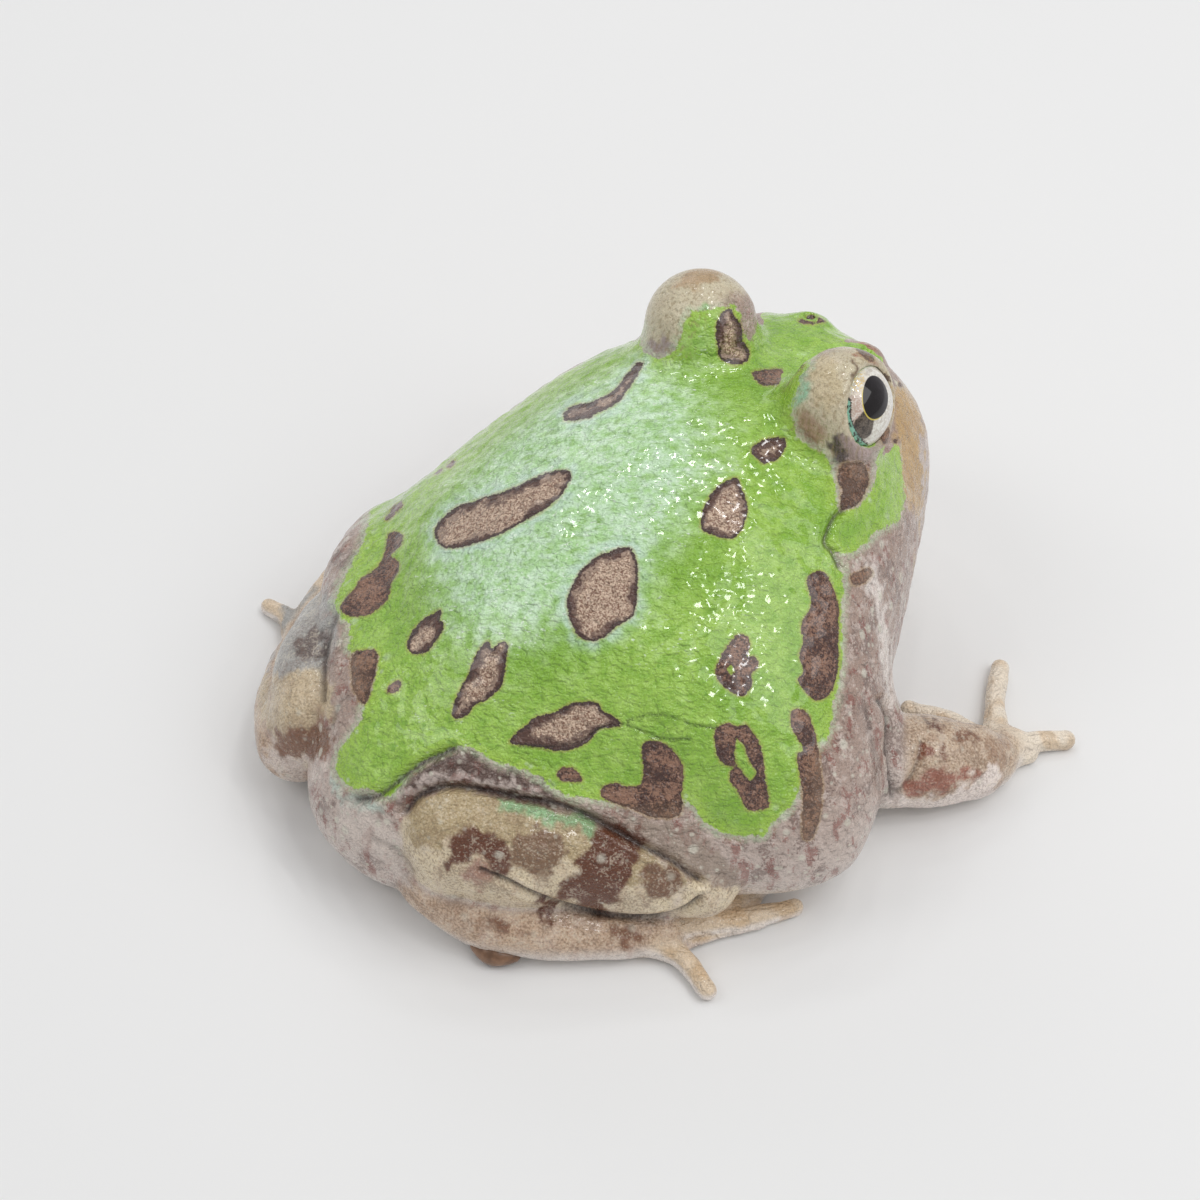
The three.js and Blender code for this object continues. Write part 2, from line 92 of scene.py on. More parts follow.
LEFT_ARM_SHIFT = (-5.5, -2)
LEGS = {
    "right": {
        "thigh": [(3.4, 22.6, 7.4, 9.6), (-7, 15.6, 11.6, 8.2), (-15.5, 12.2, 10.6, 7),
                  (-23.4, 8.4, 8.8, 5.2)],
        "shank": [(-5.2, 24.6, 10.4, 6.6), (-9.4, 22, 10.4, 6.7), (-14.2, 18.2, 9.9, 6.2),
                  (-20, 14.6, 8.6, 5.3), (-25, 11, 6.8, 4)],
        "tarsus": [(-4.4, 27.4, 5.2, 4.3), (-8.8, 27.2, 4, 3.9), (-14.8, 24.6, 3.1, 3.3),
                   (-20.6, 20, 2.4, 2.6), (-24.4, 16, 1.8, 2.1)],
        "toes": [
            [(-22.6, 17.6, 1.6, 1.6), (-27.6, 16.6, 1.2, 1.2), (-31.8, 17.6, 0.8, 1)],
            [(-24.6, 14.6, 1.6, 1.5), (-29, 8.8, 1.1, 1.15), (-31.8, 4, 0.8, 1)],
            [(-24, 14, 1.6, 1.5), (-27, 7, 1.1, 1.15), (-28.6, -0.6, 0.8, 1)],
            [(-23, 14, 1.6, 1.5), (-24.4, 6, 1.1, 1.15), (-24.4, -3.4, 0.8, 1)],
            [(-22, 14.4, 1.6, 1.5), (-21.4, 8.6, 1.1, 1.1), (-20, 2.6, 0.8, 1)],
        ],
        "spade": [(-10.4, 29.4, 1.3, 0.7), (-13, 29, 1.2, 1.15), (-15.4, 27.4, 1.2, 0.6)],
    },
    "left": {
        "thigh": [(9.6, 17.6, 12, 8.8), (15.8, 13.2, 12.4, 7.9), (21.5, 8.3, 12.2, 7),
                  (25.8, 3.3, 10.6, 5.6)],
        "shank": [(16.6, 22.8, 9, 5.6), (20.2, 18.6, 9.2, 5.8), (22.8, 13.6, 8.6, 5.5), (24.4, 8.2, 7.4, 4.8),
                  (25.6, 2.6, 6.2, 3.9)],
        "tarsus": [(18.6, 25, 5.4, 4.4), (22.8, 22.2, 4, 3.9), (26.6, 17.8, 3.1, 3.3), (29.4, 13.4, 2.4, 2.6),
                   (31.6, 10, 1.8, 2.1)],
        "toes": [
            [(31.6, 13, 1.6, 1.6), (34.6, 11.6, 1.2, 1.2), (37.4, 11.6, 0.8, 1)],
            [(33, 9.6, 1.6, 1.5), (35, 4.4, 1.1, 1.15), (35.6, -0.6, 0.8, 1)],
            [(32.6, 9, 1.6, 1.5), (32.6, 2, 1.1, 1.15), (31.6, -5, 0.8, 1)],
            [(31.8, 8.6, 1.6, 1.5), (29.8, 1, 1.1, 1.15), (27.4, -7, 0.8, 1)],
            [(30.6, 9, 1.6, 1.5), (27.2, 3.6, 1.1, 1.1), (24.4, -1.6, 0.8, 1)],
        ],
        "spade": [(21.6, 25, 1.3, 0.7), (23.8, 23.4, 1.2, 1.15), (25.4, 21.2, 1.2, 0.6)],
    },
}
WEB_SHARE = 0.62  # of a toe's length, from its root
FIRST_WEB_SHARE = 0.3
WEB_HEIGHT, WEB_HALF_WIDTH, WEB_FLATNESS = 0.62, 0.95, 2.2

# The camera, in the frog's frame, and the photo's frame of 1200 pixels.
AZIMUTH, ELEVATION, FIELD_OF_VIEW = 222.0, 49.0, 22.0
TARGET = np.array([-1.5, 0.0, 22.0])
PIXELS_PER_MM = 9.8
PICTURE = 1200

# Markings, as outlines: the x,y of each point in the photo's pixels. They are thrown onto the body from the
# photo's own view.
GREEN = (
    "640,322 600,332 555,368 495,412 430,452 398,474 385,483 374,500 369,520 364,540 356,556 346,574 338,592 "
    "336,605 341,617 350,625 348,648 358,654 378,656 376,670 371,690 362,712 356,728 346,742 337,760 338,773 "
    "346,784 356,789 368,789 385,797 396,792 402,781 414,767 432,756 450,749 470,746 480,753 496,763 520,768 "
    "538,776 552,787 566,795 598,800 640,802 680,800 692,803 702,818 716,830 740,836 761,835 772,824 786,811 "
    "797,796 801,778 806,758 820,745 831,730 833,712 838,690 842,660 841,630 842,600 843,575 838,556 832,546 "
    "841,553 853,553 863,545 873,535 886,526 899,520 903,508 903,488 902,465 900,449 890,444 880,450 876,464 "
    "874,482 868,497 857,507 843,509 836,500 834,484 831,467 824,455 813,448 800,439 793,425 790,411 794,396 "
    "799,382 806,369 813,357 824,347 850,338 853,322 832,305 790,303 763,306 757,322 751,342 742,332 736,306 "
    "716,308 692,311 686,322 681,337 674,350 662,358 650,356 641,346")
SPOTS = {
    "long, left of the middle":
        "434,532 441,520 455,508 478,499 505,491 530,480 550,472 567,470 571,477 565,490 555,503 540,513 "
        "520,523 500,535 478,542 452,548 440,545",
    "narrow, behind the far eye":
        "565,421 567,411 577,404 592,402 606,394 618,386 628,372 637,364 643,364 636,378 628,390 618,402 "
        "603,411 585,419",
    "teardrop in the middle":
        "567,606 570,590 580,572 598,556 618,549 630,548 637,560 638,580 636,605 630,618 615,628 603,638 "
        "590,641 576,634",
    "teardrop behind the near eye":
        "701,528 702,512 710,496 722,483 737,477 742,490 747,505 745,522 737,536 726,539 712,535",
    "small, behind the near eye": "751,451 757,443 770,438 784,438 785,448 778,459 764,463 756,458",
    "between the eyes":
        "752,372 765,369 780,368 790,370 798,364 806,357 801,368 792,377 785,383 772,386 760,384",
    "over the far eye":
        "716,326 722,313 730,308 736,318 741,325 743,340 749,350 748,360 738,365 728,363 720,358 717,345",
    "oval on the left":
        "407,647 410,635 418,624 428,616 438,610 442,612 440,620 444,624 440,636 433,646 424,654 414,654",
    "dot": "386,690 391,683 400,680 401,686 396,691 389,693",
    "rear left":
        "452,708 458,693 468,675 474,658 484,643 490,641 492,648 500,643 508,644 506,665 502,685 490,697 "
        "476,705 466,716 454,718",
    "half moon":
        "509,743 520,730 535,718 555,712 572,703 595,702 603,710 618,720 619,726 600,729 590,740 575,748 "
        "558,751 530,746",
    "below the half moon": "557,774 562,768 573,768 583,780 570,782 560,780",
    "over the thigh":
        "642,746 652,740 665,744 677,755 683,768 682,790 680,815 655,818 638,812 620,805 602,797 603,786 "
        "615,783 630,787 642,782 643,765",
    "upper ring":
        "717,676 716,668 722,655 730,642 738,634 748,637 750,647 747,655 754,656 758,661 757,670 752,673 "
        "753,683 747,693 740,696 728,690 720,683",
    "lower ring":
        "715,745 715,730 725,723 738,726 746,724 755,735 762,750 765,775 769,795 768,808 755,811 745,808 "
        "740,795 731,782 730,772 736,766 727,766 718,758",
    "on the flank":
        "806,580 812,573 822,571 828,578 834,592 838,605 838,635 839,665 835,685 828,697 815,700 806,692 "
        "798,680 803,672 799,655 803,640 801,622 808,612 811,598",
    "low on the flank":
        "791,712 800,709 808,712 813,725 818,745 821,770 822,800 815,835 805,840 802,820 803,795 800,775 "
        "797,755 803,750 798,738 792,728",
    "upper one at the left rear":
        "386,542 388,534 395,531 402,535 400,545 393,552 391,556 398,562 398,572 391,584 388,598 380,608 "
        "368,615 355,617 342,612 344,600 354,590 363,577 378,565 384,552",
    "lower one at the left rear": "351,655 362,650 378,652 376,668 371,688 364,704 354,692 350,672",
    "left edge": "385,518 392,508 400,501 402,506 394,513 388,520",
    "left edge, further on": "430,471 434,466 441,466 441,471 434,474",
    "left edge, last": "445,464 449,459 454,459 453,464 448,467",
    "under the near eye":
        "839,505 842,490 838,480 842,465 855,462 865,465 869,480 866,492 862,500 855,507 845,509",
    "before the near eye": "880,437 883,430 890,427 897,436 898,442 890,443 884,444",
    "snout, near side":
        "854,345 862,343 870,347 875,360 885,372 898,380 904,386 896,386 884,378 872,366 862,356",
    "snout, far side": "798,320 805,316 815,315 826,321 815,323 803,323",
    "cheek": "849,578 856,572 868,568 872,574 865,582 855,586",
}
HOLES = {
    "lower ring": "736,739 743,745 750,762 756,772 751,780 741,771 735,758",
    "upper ring": "727,668 731,665 735,670 731,675",
}
HALOED = ("long, left of the middle", "teardrop in the middle", "narrow, behind the far eye")
RINGED = (*HALOED, "over the far eye", "teardrop behind the near eye", "small, behind the near eye",
          "rear left", "oval on the left", "half moon")

# Marks on the iris, across and up from the pupil's middle in millimetres: a dark wedge and a turquoise line.
EYE_WEDGE = (
    "-0.3,-1.6 -1.25,-1.35 -2,-2 -2.45,-2.85 -1.7,-4.1 -0.5,-4.7 0.2,-4 -0.1,-2.8 -0.2,-2")
EYE_RING = (
    "-3.5,-0.6 -3.5,-1.6 -3.3,-2.5 -2.7,-3.5 -1.7,-4.6 -0.3,-5.5 0.8,-5.9")

# Colours as they are seen, 0 to 255.
FLANK = (172, 147, 134)
FLANK_DARK = (122, 98, 90)
# The pale of the low flank, the belly and the soles are brighter than the skin's own colours: painted light
# from below.
PALE_WITH_PAINTED_LIGHT = (232, 220, 212)
BELLY_WITH_PAINTED_LIGHT = (240, 230, 220)
THIGH = (90, 68, 60)
SHANK = (230, 213, 180)
FOOT = (204, 174, 146)
SOLE_WITH_PAINTED_LIGHT = (250, 240, 232)
TOE = (230, 208, 180)
HAND = (200, 174, 148)
FINGER = (246, 232, 212)
DIGIT_TAN = (206, 170, 124)
LID = (212, 201, 172)
LIP = (202, 168, 118)
JAW = (196, 178, 170)
BROWN = (98, 52, 30)
WARM_BROWN = (134, 94, 70)
TURQUOISE = (150, 192, 140)
RED = (166, 108, 90)

# Soft patches of colour: outline, colour, width of the soft edge in pixels.
PATCHES = {
    "thigh's fold": (
        "392,796 412,772 440,755 470,748 500,766 540,780 566,800 560,810 500,796 440,789 410,802", THIGH, 14),
    "flank over the shank": (
        "556,798 600,806 650,818 700,832 745,885 705,884 660,857 600,826 560,810", (168, 150, 136), 10),
    "top of the shank": (
        "407,814 418,798 444,791 480,794 520,802 560,811 595,824 640,849 665,863 690,881 640,884 560,860 "
        "480,836 430,846 410,842", (186, 166, 128), 5),
    "arch on the shank": (
        "456,835 470,829 490,832 504,840 512,853 510,869 500,875 490,865 475,858 463,862 448,869 443,860 "
        "452,850", BROWN, 6),
    "within the arch": ("460,872 478,862 496,873 486,884 466,884", (178, 140, 122), 8),
    "middle of the shank": (
        "518,834 545,829 562,839 564,856 550,872 530,874 514,862 512,845", (134, 106, 82), 7),
    "band on the shank": (
        "600,821 645,836 641,852 632,864 626,880 620,896 609,907 594,911 574,904 558,896 566,884 578,870 "
        "580,855 590,840", BROWN, 7),
    "knee": ("644,869 660,861 676,868 681,881 668,894 650,893 642,882", (124, 92, 70), 7),
    "green edge of the shank": (
        "500,797 530,803 555,810 580,817 595,822 590,834 570,828 545,822 520,812 503,806", TURQUOISE, 7),
    "foot, first": ("537,903 550,899 557,908 552,917 540,917", BROWN, 5),
    "foot, second": ("490,916 508,921 511,933 496,931", WARM_BROWN, 6),
    "foot, third": ("612,934 632,929 642,938 634,946 616,944", WARM_BROWN, 6),
    "left heel": ("274,732 300,721 325,726 334,744 330,758 300,758 278,755", WARM_BROWN, 8),
    "left shank": ("262,650 276,620 296,596 326,590 336,620 330,662 300,676 276,680", (172, 170, 166), 12),
    "left shank, olive": (
        "256,672 280,676 310,674 330,684 330,716 300,726 274,730 256,705", (206, 186, 154), 8),
    "left shank, low": ("266,744 290,757 330,757 334,776 300,782 270,766", (226, 210, 200), 6),
    "mint rim at the rear": ("334,772 346,790 372,797 388,803 372,814 350,808 334,792", (196, 208, 196), 8),
    "pale streak in the fold": (
        "396,792 436,774 496,778 548,795 546,800 494,785 438,782 402,799", (190, 174, 166), 4),
    "left shank, dark": ("297,640 310,630 324,630 322,655 305,660 296,652", (112, 100, 96), 7),
    "wrist, red": ("901,788 920,774 945,769 972,770 975,779 950,786 925,794 905,795", RED, 7),
    "arm, first": ("920,716 934,719 946,730 938,732 926,724", BROWN, 4),
    "arm, second": ("960,731 968,731 978,741 972,743 962,737", WARM_BROWN, 4),
    "arm, third": ("920,744 930,743 933,753 926,758 921,753", (146, 92, 72), 4),
    "arm, fourth": ("944,747 950,747 950,757 945,758", WARM_BROWN, 4),
    "behind the near eye": ("830,440 842,436 850,446 846,462 836,464 831,454", (84, 70, 68), 5),
    "under the near eye, grey": ("842,440 858,442 880,452 880,462 862,462 846,460", (172, 150, 146), 6),
    "turquoise on the lid": ("786,406 788,388 794,374 806,360 813,366 808,382 801,404", (158, 204, 170), 10),
    "far lid, green": ("686,350 688,330 696,314 712,310 716,322 712,345", (118, 176, 88), 5),
    "far lid, lavender": ("640,360 644,346 656,338 672,342 676,352 664,362", (170, 154, 150), 6),
    "lid, low": ("790,422 800,412 818,426 826,440 812,442 798,436", (178, 148, 124), 8),
    "lid, middle": ("810,352 826,350 838,372 836,410 822,414 814,390", (206, 190, 154), 12),
    "snout, brown": ("855,343 862,342 869,346 875,355 876,365 868,361 860,352", (172, 116, 88), 4),
    "cream line before the lip": ("898,445 906,447 909,495 903,500 899,470", (214, 212, 188), 4),
    "pale edge of the arm": (
        "890,796 915,799 945,795 972,782 990,762 1000,772 992,796 965,812 930,816 "
        "893,810", (250, 236, 228), 7),
    "pale edge of the flank": (
        "870,560 884,600 892,650 894,704 884,708 880,650 872,600 862,572", (240, 228, 220), 9),
    "low rump": (
        "338,800 372,812 398,830 404,862 412,892 392,874 370,854 348,838 334,812", (222, 208, 198), 12),
    "wrist": ("985,742 1006,738 1008,756 1000,772 992,762", (178, 148, 124), 5),
    "cream, before the near eye": ("886,372 896,380 918,396 916,404 898,398 892,390", (218, 214, 190), 4),
    "lip": ("893,388 915,388 922,410 926,450 926,490 920,520 905,500 900,470 897,430 892,410", LIP, 6),
    "edge of the lip": ("922,440 930,440 930,515 921,515 925,480", (204, 188, 180), 4),
    # A dark brown strip along the front of the near lid's rim: painted shade.
    "painted shade at the lid's front": ("852,366 857,366 854,382 849,382", (104, 78, 56), 4),
    "brow": ("793,428 806,430 822,444 812,448 800,440", (146, 112, 92), 6),
    "far lid": ("672,285 690,268 720,268 712,280 690,286", (184, 156, 120), 8),
    "far left": ("336,566 345,552 358,545 364,526 372,516 366,545 356,566 344,572", (132, 110, 102), 6),
}

# Creases, as lines: points in the photo's pixels, and depth and half width in millimetres.
CREASES = {
    "above the shank": (
        "404,812 420,795 444,787 480,790 520,798 560,806 600,822 640,845 670,858 700,880", 0.75, 0.42),
    "over the thigh's fold": ("355,800 375,797 395,783 412,769 432,757 452,749", 0.6, 0.45),
    "under the half moon": ("520,746 550,747 580,742 600,728 620,724 645,732 662,739 690,739", 0.3, 0.14),
    "beside the half moon": ("620,724 640,717 665,715 690,724 718,728", 0.25, 0.12),
    "shank and foot": ("480,870 505,880 530,893 560,904 600,914 645,918 680,912 700,898", 0.55, 0.3),
    "behind the cheek": ("844,510 836,516 829,530 826,542 834,552 840,566", 0.5, 0.4),
    "sleeve": ("880,700 889,720 888,745 890,770 892,798", 0.5, 0.45),
    "elbow": ("921,741 918,760 909,780 895,794", 0.3, 0.3),
    "left rear fold": ("322,700 322,670 326,640 334,615", 0.4, 0.45),
    "under the left rear": ("330,728 340,700 352,700", 0.2, 0.3),
    "flank behind the arm": ("866,700 872,740 878,790", 0.2, 0.5),
    "lower thigh": ("372,840 395,850 412,870", 0.2, 0.5),
}

# Field of distances from which the skin is meshed.
VOXEL = 0.27
LOW = np.array([-45.0, -49.0, -1.5])
HIGH = np.array([42.0, 37.0, 43.0])
BAND = 3.6  # how far from the surface the field is true

MM = 0.001
eye_low, eye_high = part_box("eye_left")
SHIFT = np.array((eye_low + eye_high) / 2) / MM - EYES[1]  # from the frog's frame to the model's


# Curves and sizes shared with the solids

def profile(knots, y):
    """Value at y of the smooth curve through the knots: cubic, with each knot's slope from its neighbours."""
    at = np.array([k[0] for k in knots], float)
    value = np.array([k[1] for k in knots], float)
    last = len(knots) - 1
    before = np.maximum(np.arange(last + 1) - 1, 0)
    after = np.minimum(np.arange(last + 1) + 1, last)
    slope = (value[after] - value[before]) / (at[after] - at[before])
    y = np.clip(y, at[0], at[-1])
    i = np.clip(np.searchsorted(at, y, side="left") - 1, 0, last - 1)
    span = at[i + 1] - at[i]
    t = (y - at[i]) / span
    return ((2 * t**3 - 3 * t**2 + 1) * value[i] + (t**3 - 2 * t**2 + t) * span * slope[i]
            + (3 * t**2 - 2 * t**3) * value[i + 1] + (t**3 - t**2) * span * slope[i + 1])


def midline(y):
    return RUMP_SWING * np.maximum(y, 0) ** 2


def closing(y):
    """Share of the full section that is left at y, which falls to nothing at the snout and at the vent."""
    front = np.clip((SNOUT_Y + FRONT_CAP - y) / FRONT_CAP, 0, 1)
    rear = np.clip((y - (VENT_Y - REAR_CAP)) / REAR_CAP, 0, 1)
    return ((1 - front**FRONT_CAP_POWER) ** (1 / FRONT_CAP_POWER)
            * (1 - rear**REAR_CAP_POWER) ** (1 / REAR_CAP_POWER))


def trunk_points(y, a):
    """Points of the trunk's surface at y and at angle a round it, which is 0 at the left side."""
    part = closing(y)
    middle = profile(MIDDLE, y)
    up = np.sin(a) >= 0
    height = np.where(up, profile(TOP, y) - middle, middle - profile(BOTTOM, y))
    width = np.where(np.cos(a) > 0, profile(HALF_WIDTH_LEFT, y), profile(HALF_WIDTH_RIGHT, y))
    power = 2 / np.where(up, profile(SHARPNESS_TOP, y), profile(SHARPNESS_BOTTOM, y))
    x = np.sign(np.cos(a)) * np.abs(np.cos(a)) ** power
    z = np.sign(np.sin(a)) * np.abs(np.sin(a)) ** power
    return np.stack([midline(y) + x * width * part, y + 0 * x, middle + z * height * part], -1)


def path_point(points, t):
    """Point at share t of the smooth centripetal curve through the points."""
    points = np.asarray(points, float)[:, :3]
    last = len(points) - 1
    k = min(max(t, 0.0), 1.0) * last
    i = min(int(k), last - 1)
    f = k - i
    p1, p2 = points[i], points[i + 1]
    p0 = points[i - 1] if i > 0 else 2 * points[0] - points[1]
    p3 = points[i + 2] if i + 2 <= last else 2 * points[last] - points[last - 1]
    d0, d1, d2 = (np.linalg.norm(b - a) ** 0.5 for a, b in ((p0, p1), (p1, p2), (p2, p3)))
    t1 = ((p1 - p0) / d0 - (p2 - p0) / (d0 + d1) + (p2 - p1) / d1) * d1
    t2 = ((p2 - p1) / d1 - (p3 - p1) / (d1 + d2) + (p3 - p2) / d2) * d1
    return (p1 + t1 * f + (-3 * p1 + 3 * p2 - 2 * t1 - t2) * f**2 + (2 * p1 - 2 * p2 + t1 + t2) * f**3)


def radius_at(stations, t):
    last = len(stations) - 1
    k = min(max(t, 0.0), 1.0) * last
    i = min(int(k), last - 1)
    f = k - i
    w = f * f * (3 - 2 * f)
    return stations[i][3] * (1 - w) + stations[i + 1][3] * w


def arm_for(side, stations):
    if side == "right":
        return stations
    return [(-x + LEFT_ARM_SHIFT[0], y + LEFT_ARM_SHIFT[1], z, r) for x, y, z, r in stations]


def mirrored(p):
    return np.array([-p[0], p[1], p[2]])


def mouth_z(y):
    return MOUTH_Z - MOUTH_DROP * (y - SNOUT_Y) ** 2


def unit(v):
    return np.asarray(v, float) / np.linalg.norm(v)


# Distance field

def smooth_min(a, b, k):
    h = np.maximum(k - np.abs(a - b), 0) / k
    return np.minimum(a, b) - h * h * k / 4


def smooth_max(a, b, k):
    return -smooth_min(-a, -b, k)


SHAPE = tuple(int(n) for n in np.ceil((HIGH - LOW) / VOXEL))


def patch(low, high):
    """Slices of the field for a box, and the coordinates of its points, ready to broadcast."""
    first = np.maximum(((np.asarray(low) - LOW) / VOXEL).astype(int), 0)
    last = np.minimum(((np.asarray(high) - LOW) / VOXEL).astype(int) + 2, SHAPE)
    where = tuple(slice(a, b) for a, b in zip(first, last))
    axes = [(np.arange(a, b, dtype=np.float32) * VOXEL + LOW[k]).astype(np.float32)
            for k, (a, b) in enumerate(zip(first, last))]
    return where, np.meshgrid(*axes, indexing="ij", sparse=True)


def trunk_field():
    """Distance to the trunk, from a fine mesh of it."""
    rings, sides = 220, 200
    u = np.linspace(0, np.pi, rings + 1)[:, None]
    y = SNOUT_Y + (VENT_Y - SNOUT_Y) * (1 - np.cos(u)) / 2
    a = np.linspace(0, 2 * np.pi, sides, endpoint=False)[None, :]
    points = trunk_points(y + 0 * a, a + 0 * y).reshape(-1, 3)
    quads = np.array(ring_faces(rings + 1, sides), np.uint32)
    transform = openvdb.createLinearTransform(voxelSize=VOXEL)
    grid = openvdb.FloatGrid.createLevelSetFromPolygons(
        (points - LOW).astype(np.float32), quads=quads, transform=transform,
        exBandWidth=BAND / VOXEL, inBandWidth=BAND / VOXEL)
    values = np.zeros(SHAPE, np.float32)
    grid.copyToArray(values)
    return values


def tube_distance(coords, stations, steps, flat=1.0):
    """Distance to a tube along the stations' path. A flat below 1 makes it lower than it is wide."""
    x, y, z = coords
    nearest = None
    points = [path_point(stations, i / steps) for i in range(steps + 1)]
    radii = [radius_at(stations, i / steps) for i in range(steps + 1)]
    for a, b, ra, rb in zip(points, points[1:], radii, radii[1:]):
        way = b - a
        t = ((x - a[0]) * way[0] + (y - a[1]) * way[1] + (z - a[2]) * way[2]) / (way @ way)
        t = np.clip(t, 0, 1)
        dx, dy, dz = x - a[0] - t * way[0], y - a[1] - t * way[1], (z - a[2] - t * way[2]) / flat
        d = np.sqrt(dx * dx + dy * dy + dz * dz) - (ra + t * (rb - ra))
        nearest = d if nearest is None else np.minimum(nearest, d)
    return nearest


def add_tube(field, stations, blend, steps=14, flat=1.0):
    s = np.array(stations)
    reach = s[:, 3].max() + BAND
    where, coords = patch((s[:, :3] - reach).min(0), (s[:, :3] + reach).max(0))
    field[where] = smooth_min(field[where], tube_distance(coords, stations, steps, flat), blend)


def add_web(field, toes):
    """A thin skin between each toe and the next, lower towards its rim."""
    for n, (one, two) in enumerate(zip(toes, toes[1:])):
        share_one = FIRST_WEB_SHARE if n == 0 else WEB_SHARE
        strip = [(path_point(one, f * share_one), path_point(two, f * WEB_SHARE))
                 for f in np.linspace(0, 1, 9)]
        low = np.min([p for pair in strip for p in pair], axis=0) - BAND
        high = np.max([p for pair in strip for p in pair], axis=0) + BAND
        where, (x, y, z) = patch(low, high)
        nearest = None
        for a, b in strip:
            way = b - a
            t = np.clip(((x - a[0]) * way[0] + (y - a[1]) * way[1]) / max(way[:2] @ way[:2], 1e-6), 0, 1)
            sag = 1 - t * (1 - t)
            d = np.sqrt((x - a[0] - t * way[0]) ** 2 + (y - a[1] - t * way[1]) ** 2
                        + (WEB_FLATNESS * (z - (a[2] + t * way[2]) * WEB_HEIGHT)) ** 2) - WEB_HALF_WIDTH * sag
            nearest = d if nearest is None else np.minimum(nearest, d)
        field[where] = smooth_min(field[where], nearest, 0.6)


def distance_to(coords, centre):
    x, y, z = coords
    return np.sqrt((x - centre[0]) ** 2 + (y - centre[1]) ** 2 + (z - centre[2]) ** 2)


def add_lid(field, sign):
    """A ball of skin round the eye, open where it looks out, with a soft rim along the opening."""
    centre, facing, edge = EYES[sign], unit(LIDS[sign][0]), LIDS[sign][1]
    radius = EYE_RADIUS + LID_THICK
    where, coords = patch(centre - radius - BAND, centre + radius + BAND)
    x, y, z = coords
    out = (x - centre[0]) * facing[0] + (y - centre[1]) * facing[1] + (z - centre[2]) * facing[2]
    shell = smooth_max(distance_to(coords, centre) - radius, out - edge * radius, 0.7)
    aside = np.sqrt(np.maximum(distance_to(coords, centre) ** 2 - out**2, 0))
    ring = (EYE_RADIUS + 0.25) * math.sqrt(1 - edge**2)
    rim = np.sqrt((aside - ring) ** 2 + (out - edge * radius + 0.3) ** 2) - LID_RIM
    shell = smooth_min(shell, rim, 0.5)
    field[where] = smooth_min(field[where], shell, LID_BLEND)


def cut_socket(field, sign):
    centre = EYES[sign]
    where, coords = patch(centre - EYE_RADIUS - BAND, centre + EYE_RADIUS + BAND)
    ball = distance_to(coords, centre) - EYE_RADIUS - 0.02
    field[where] = smooth_max(field[where], -ball, 0.15)


def top_at(x, y):
    """Height of the top of the trunk at a place on it."""
    part = closing(y)
    middle = profile(MIDDLE, y)
    width = profile(HALF_WIDTH_LEFT if x > 0 else HALF_WIDTH_RIGHT, y) * part
    power = profile(SHARPNESS_TOP, y)
    share = (1 - np.abs((x - midline(y)) / width) ** power) ** (1 / power)
    return float(middle + (profile(TOP, y) - middle) * part * share)


def add_nostril(field, sign):
    """A low mound with a small hollow in it."""
    x, y = sign * NOSTRIL[0], NOSTRIL[1]
    top = np.array([x, y, top_at(x, y) + NOSTRIL_RISE])
    where, coords = patch(top - 2 * BAND, top + BAND)
    mound = distance_to(coords, top - (0, 0, NOSTRIL_RIM)) - NOSTRIL_RIM
    field[where] = smooth_min(field[where], mound, 1.6)
    hollow = distance_to(coords, top + (0.15 * sign, 0, 0.05)) - NOSTRIL_RADIUS
    field[where] = smooth_max(field[where], -hollow, 0.25)


def cut_mouth(field, trunk):
    """A groove round the front of the head along the mouth's line, fading out past the corners."""
    where, (x, y, z) = patch((-24, SNOUT_Y - 3, 5), (24, MOUTH_CORNER_Y + 5, 20))
    fade = np.clip((y - MOUTH_CORNER_Y + 1) / 4, 0, 1)
    thick = GROOVE_HALF_HEIGHT - 0.6 * fade
    groove = np.maximum(np.abs(z - mouth_z(y)) - thick, -(trunk[where] + GROOVE_DEPTH))
    field[where] = smooth_max(field[where], -groove, 0.45)


def skin_field():
    trunk = trunk_field()
    field = trunk.copy()
    for side in ("left", "right"):
        leg = LEGS[side]
        add_tube(field, leg["thigh"], 2.4)
        add_tube(field, arm_for(side, UPPER_ARM), 2.2)
    for sign in (1, -1):
        add_lid(field, sign)
    for side in ("left", "right"):
        leg = LEGS[side]
        add_tube(field, leg["shank"], 0.45)
        add_tube(field, leg["tarsus"], 1.3, 18)
        for toe in leg["toes"]:
            add_tube(field, toe, 0.7, 10)
        add_web(field, leg["toes"])
        add_tube(field, arm_for(side, FOREARM), 0.8)
        add_tube(field, arm_for(side, PALM), 0.9, 6, 0.8)
        for finger in FINGERS:
            add_tube(field, arm_for(side, finger), 0.7, 10)
    for sign in (1, -1):
        cut_socket(field, sign)
        add_nostril(field, sign)
    cut_mouth(field, trunk)
    floor = LOW[2] + np.arange(SHAPE[2], dtype=np.float32) * VOXEL
    return np.maximum(field, -floor[None, None, :])


def mesh_of(field):
    """Points and quads of the field's surface, in the frog's frame."""
    grid = openvdb.FloatGrid(background=BAND)
    grid.copyFromArray(np.clip(field, -BAND, BAND).astype(np.float32))
    grid.transform = openvdb.createLinearTransform(voxelSize=VOXEL)
    points, quads = grid.convertToQuads(0.0)
    return points.astype(float) + LOW, quads


def normals_of(points, quads):
    a, b, c, d = (points[quads[:, k]] for k in range(4))
    face = np.cross(c - a, d - b)
    normal = np.zeros_like(points)
    for k in range(4):
        for axis in range(3):
            normal[:, axis] += np.bincount(quads[:, k], face[:, axis], len(points))
    return normal / np.maximum(np.linalg.norm(normal, axis=1, keepdims=True), 1e-9)


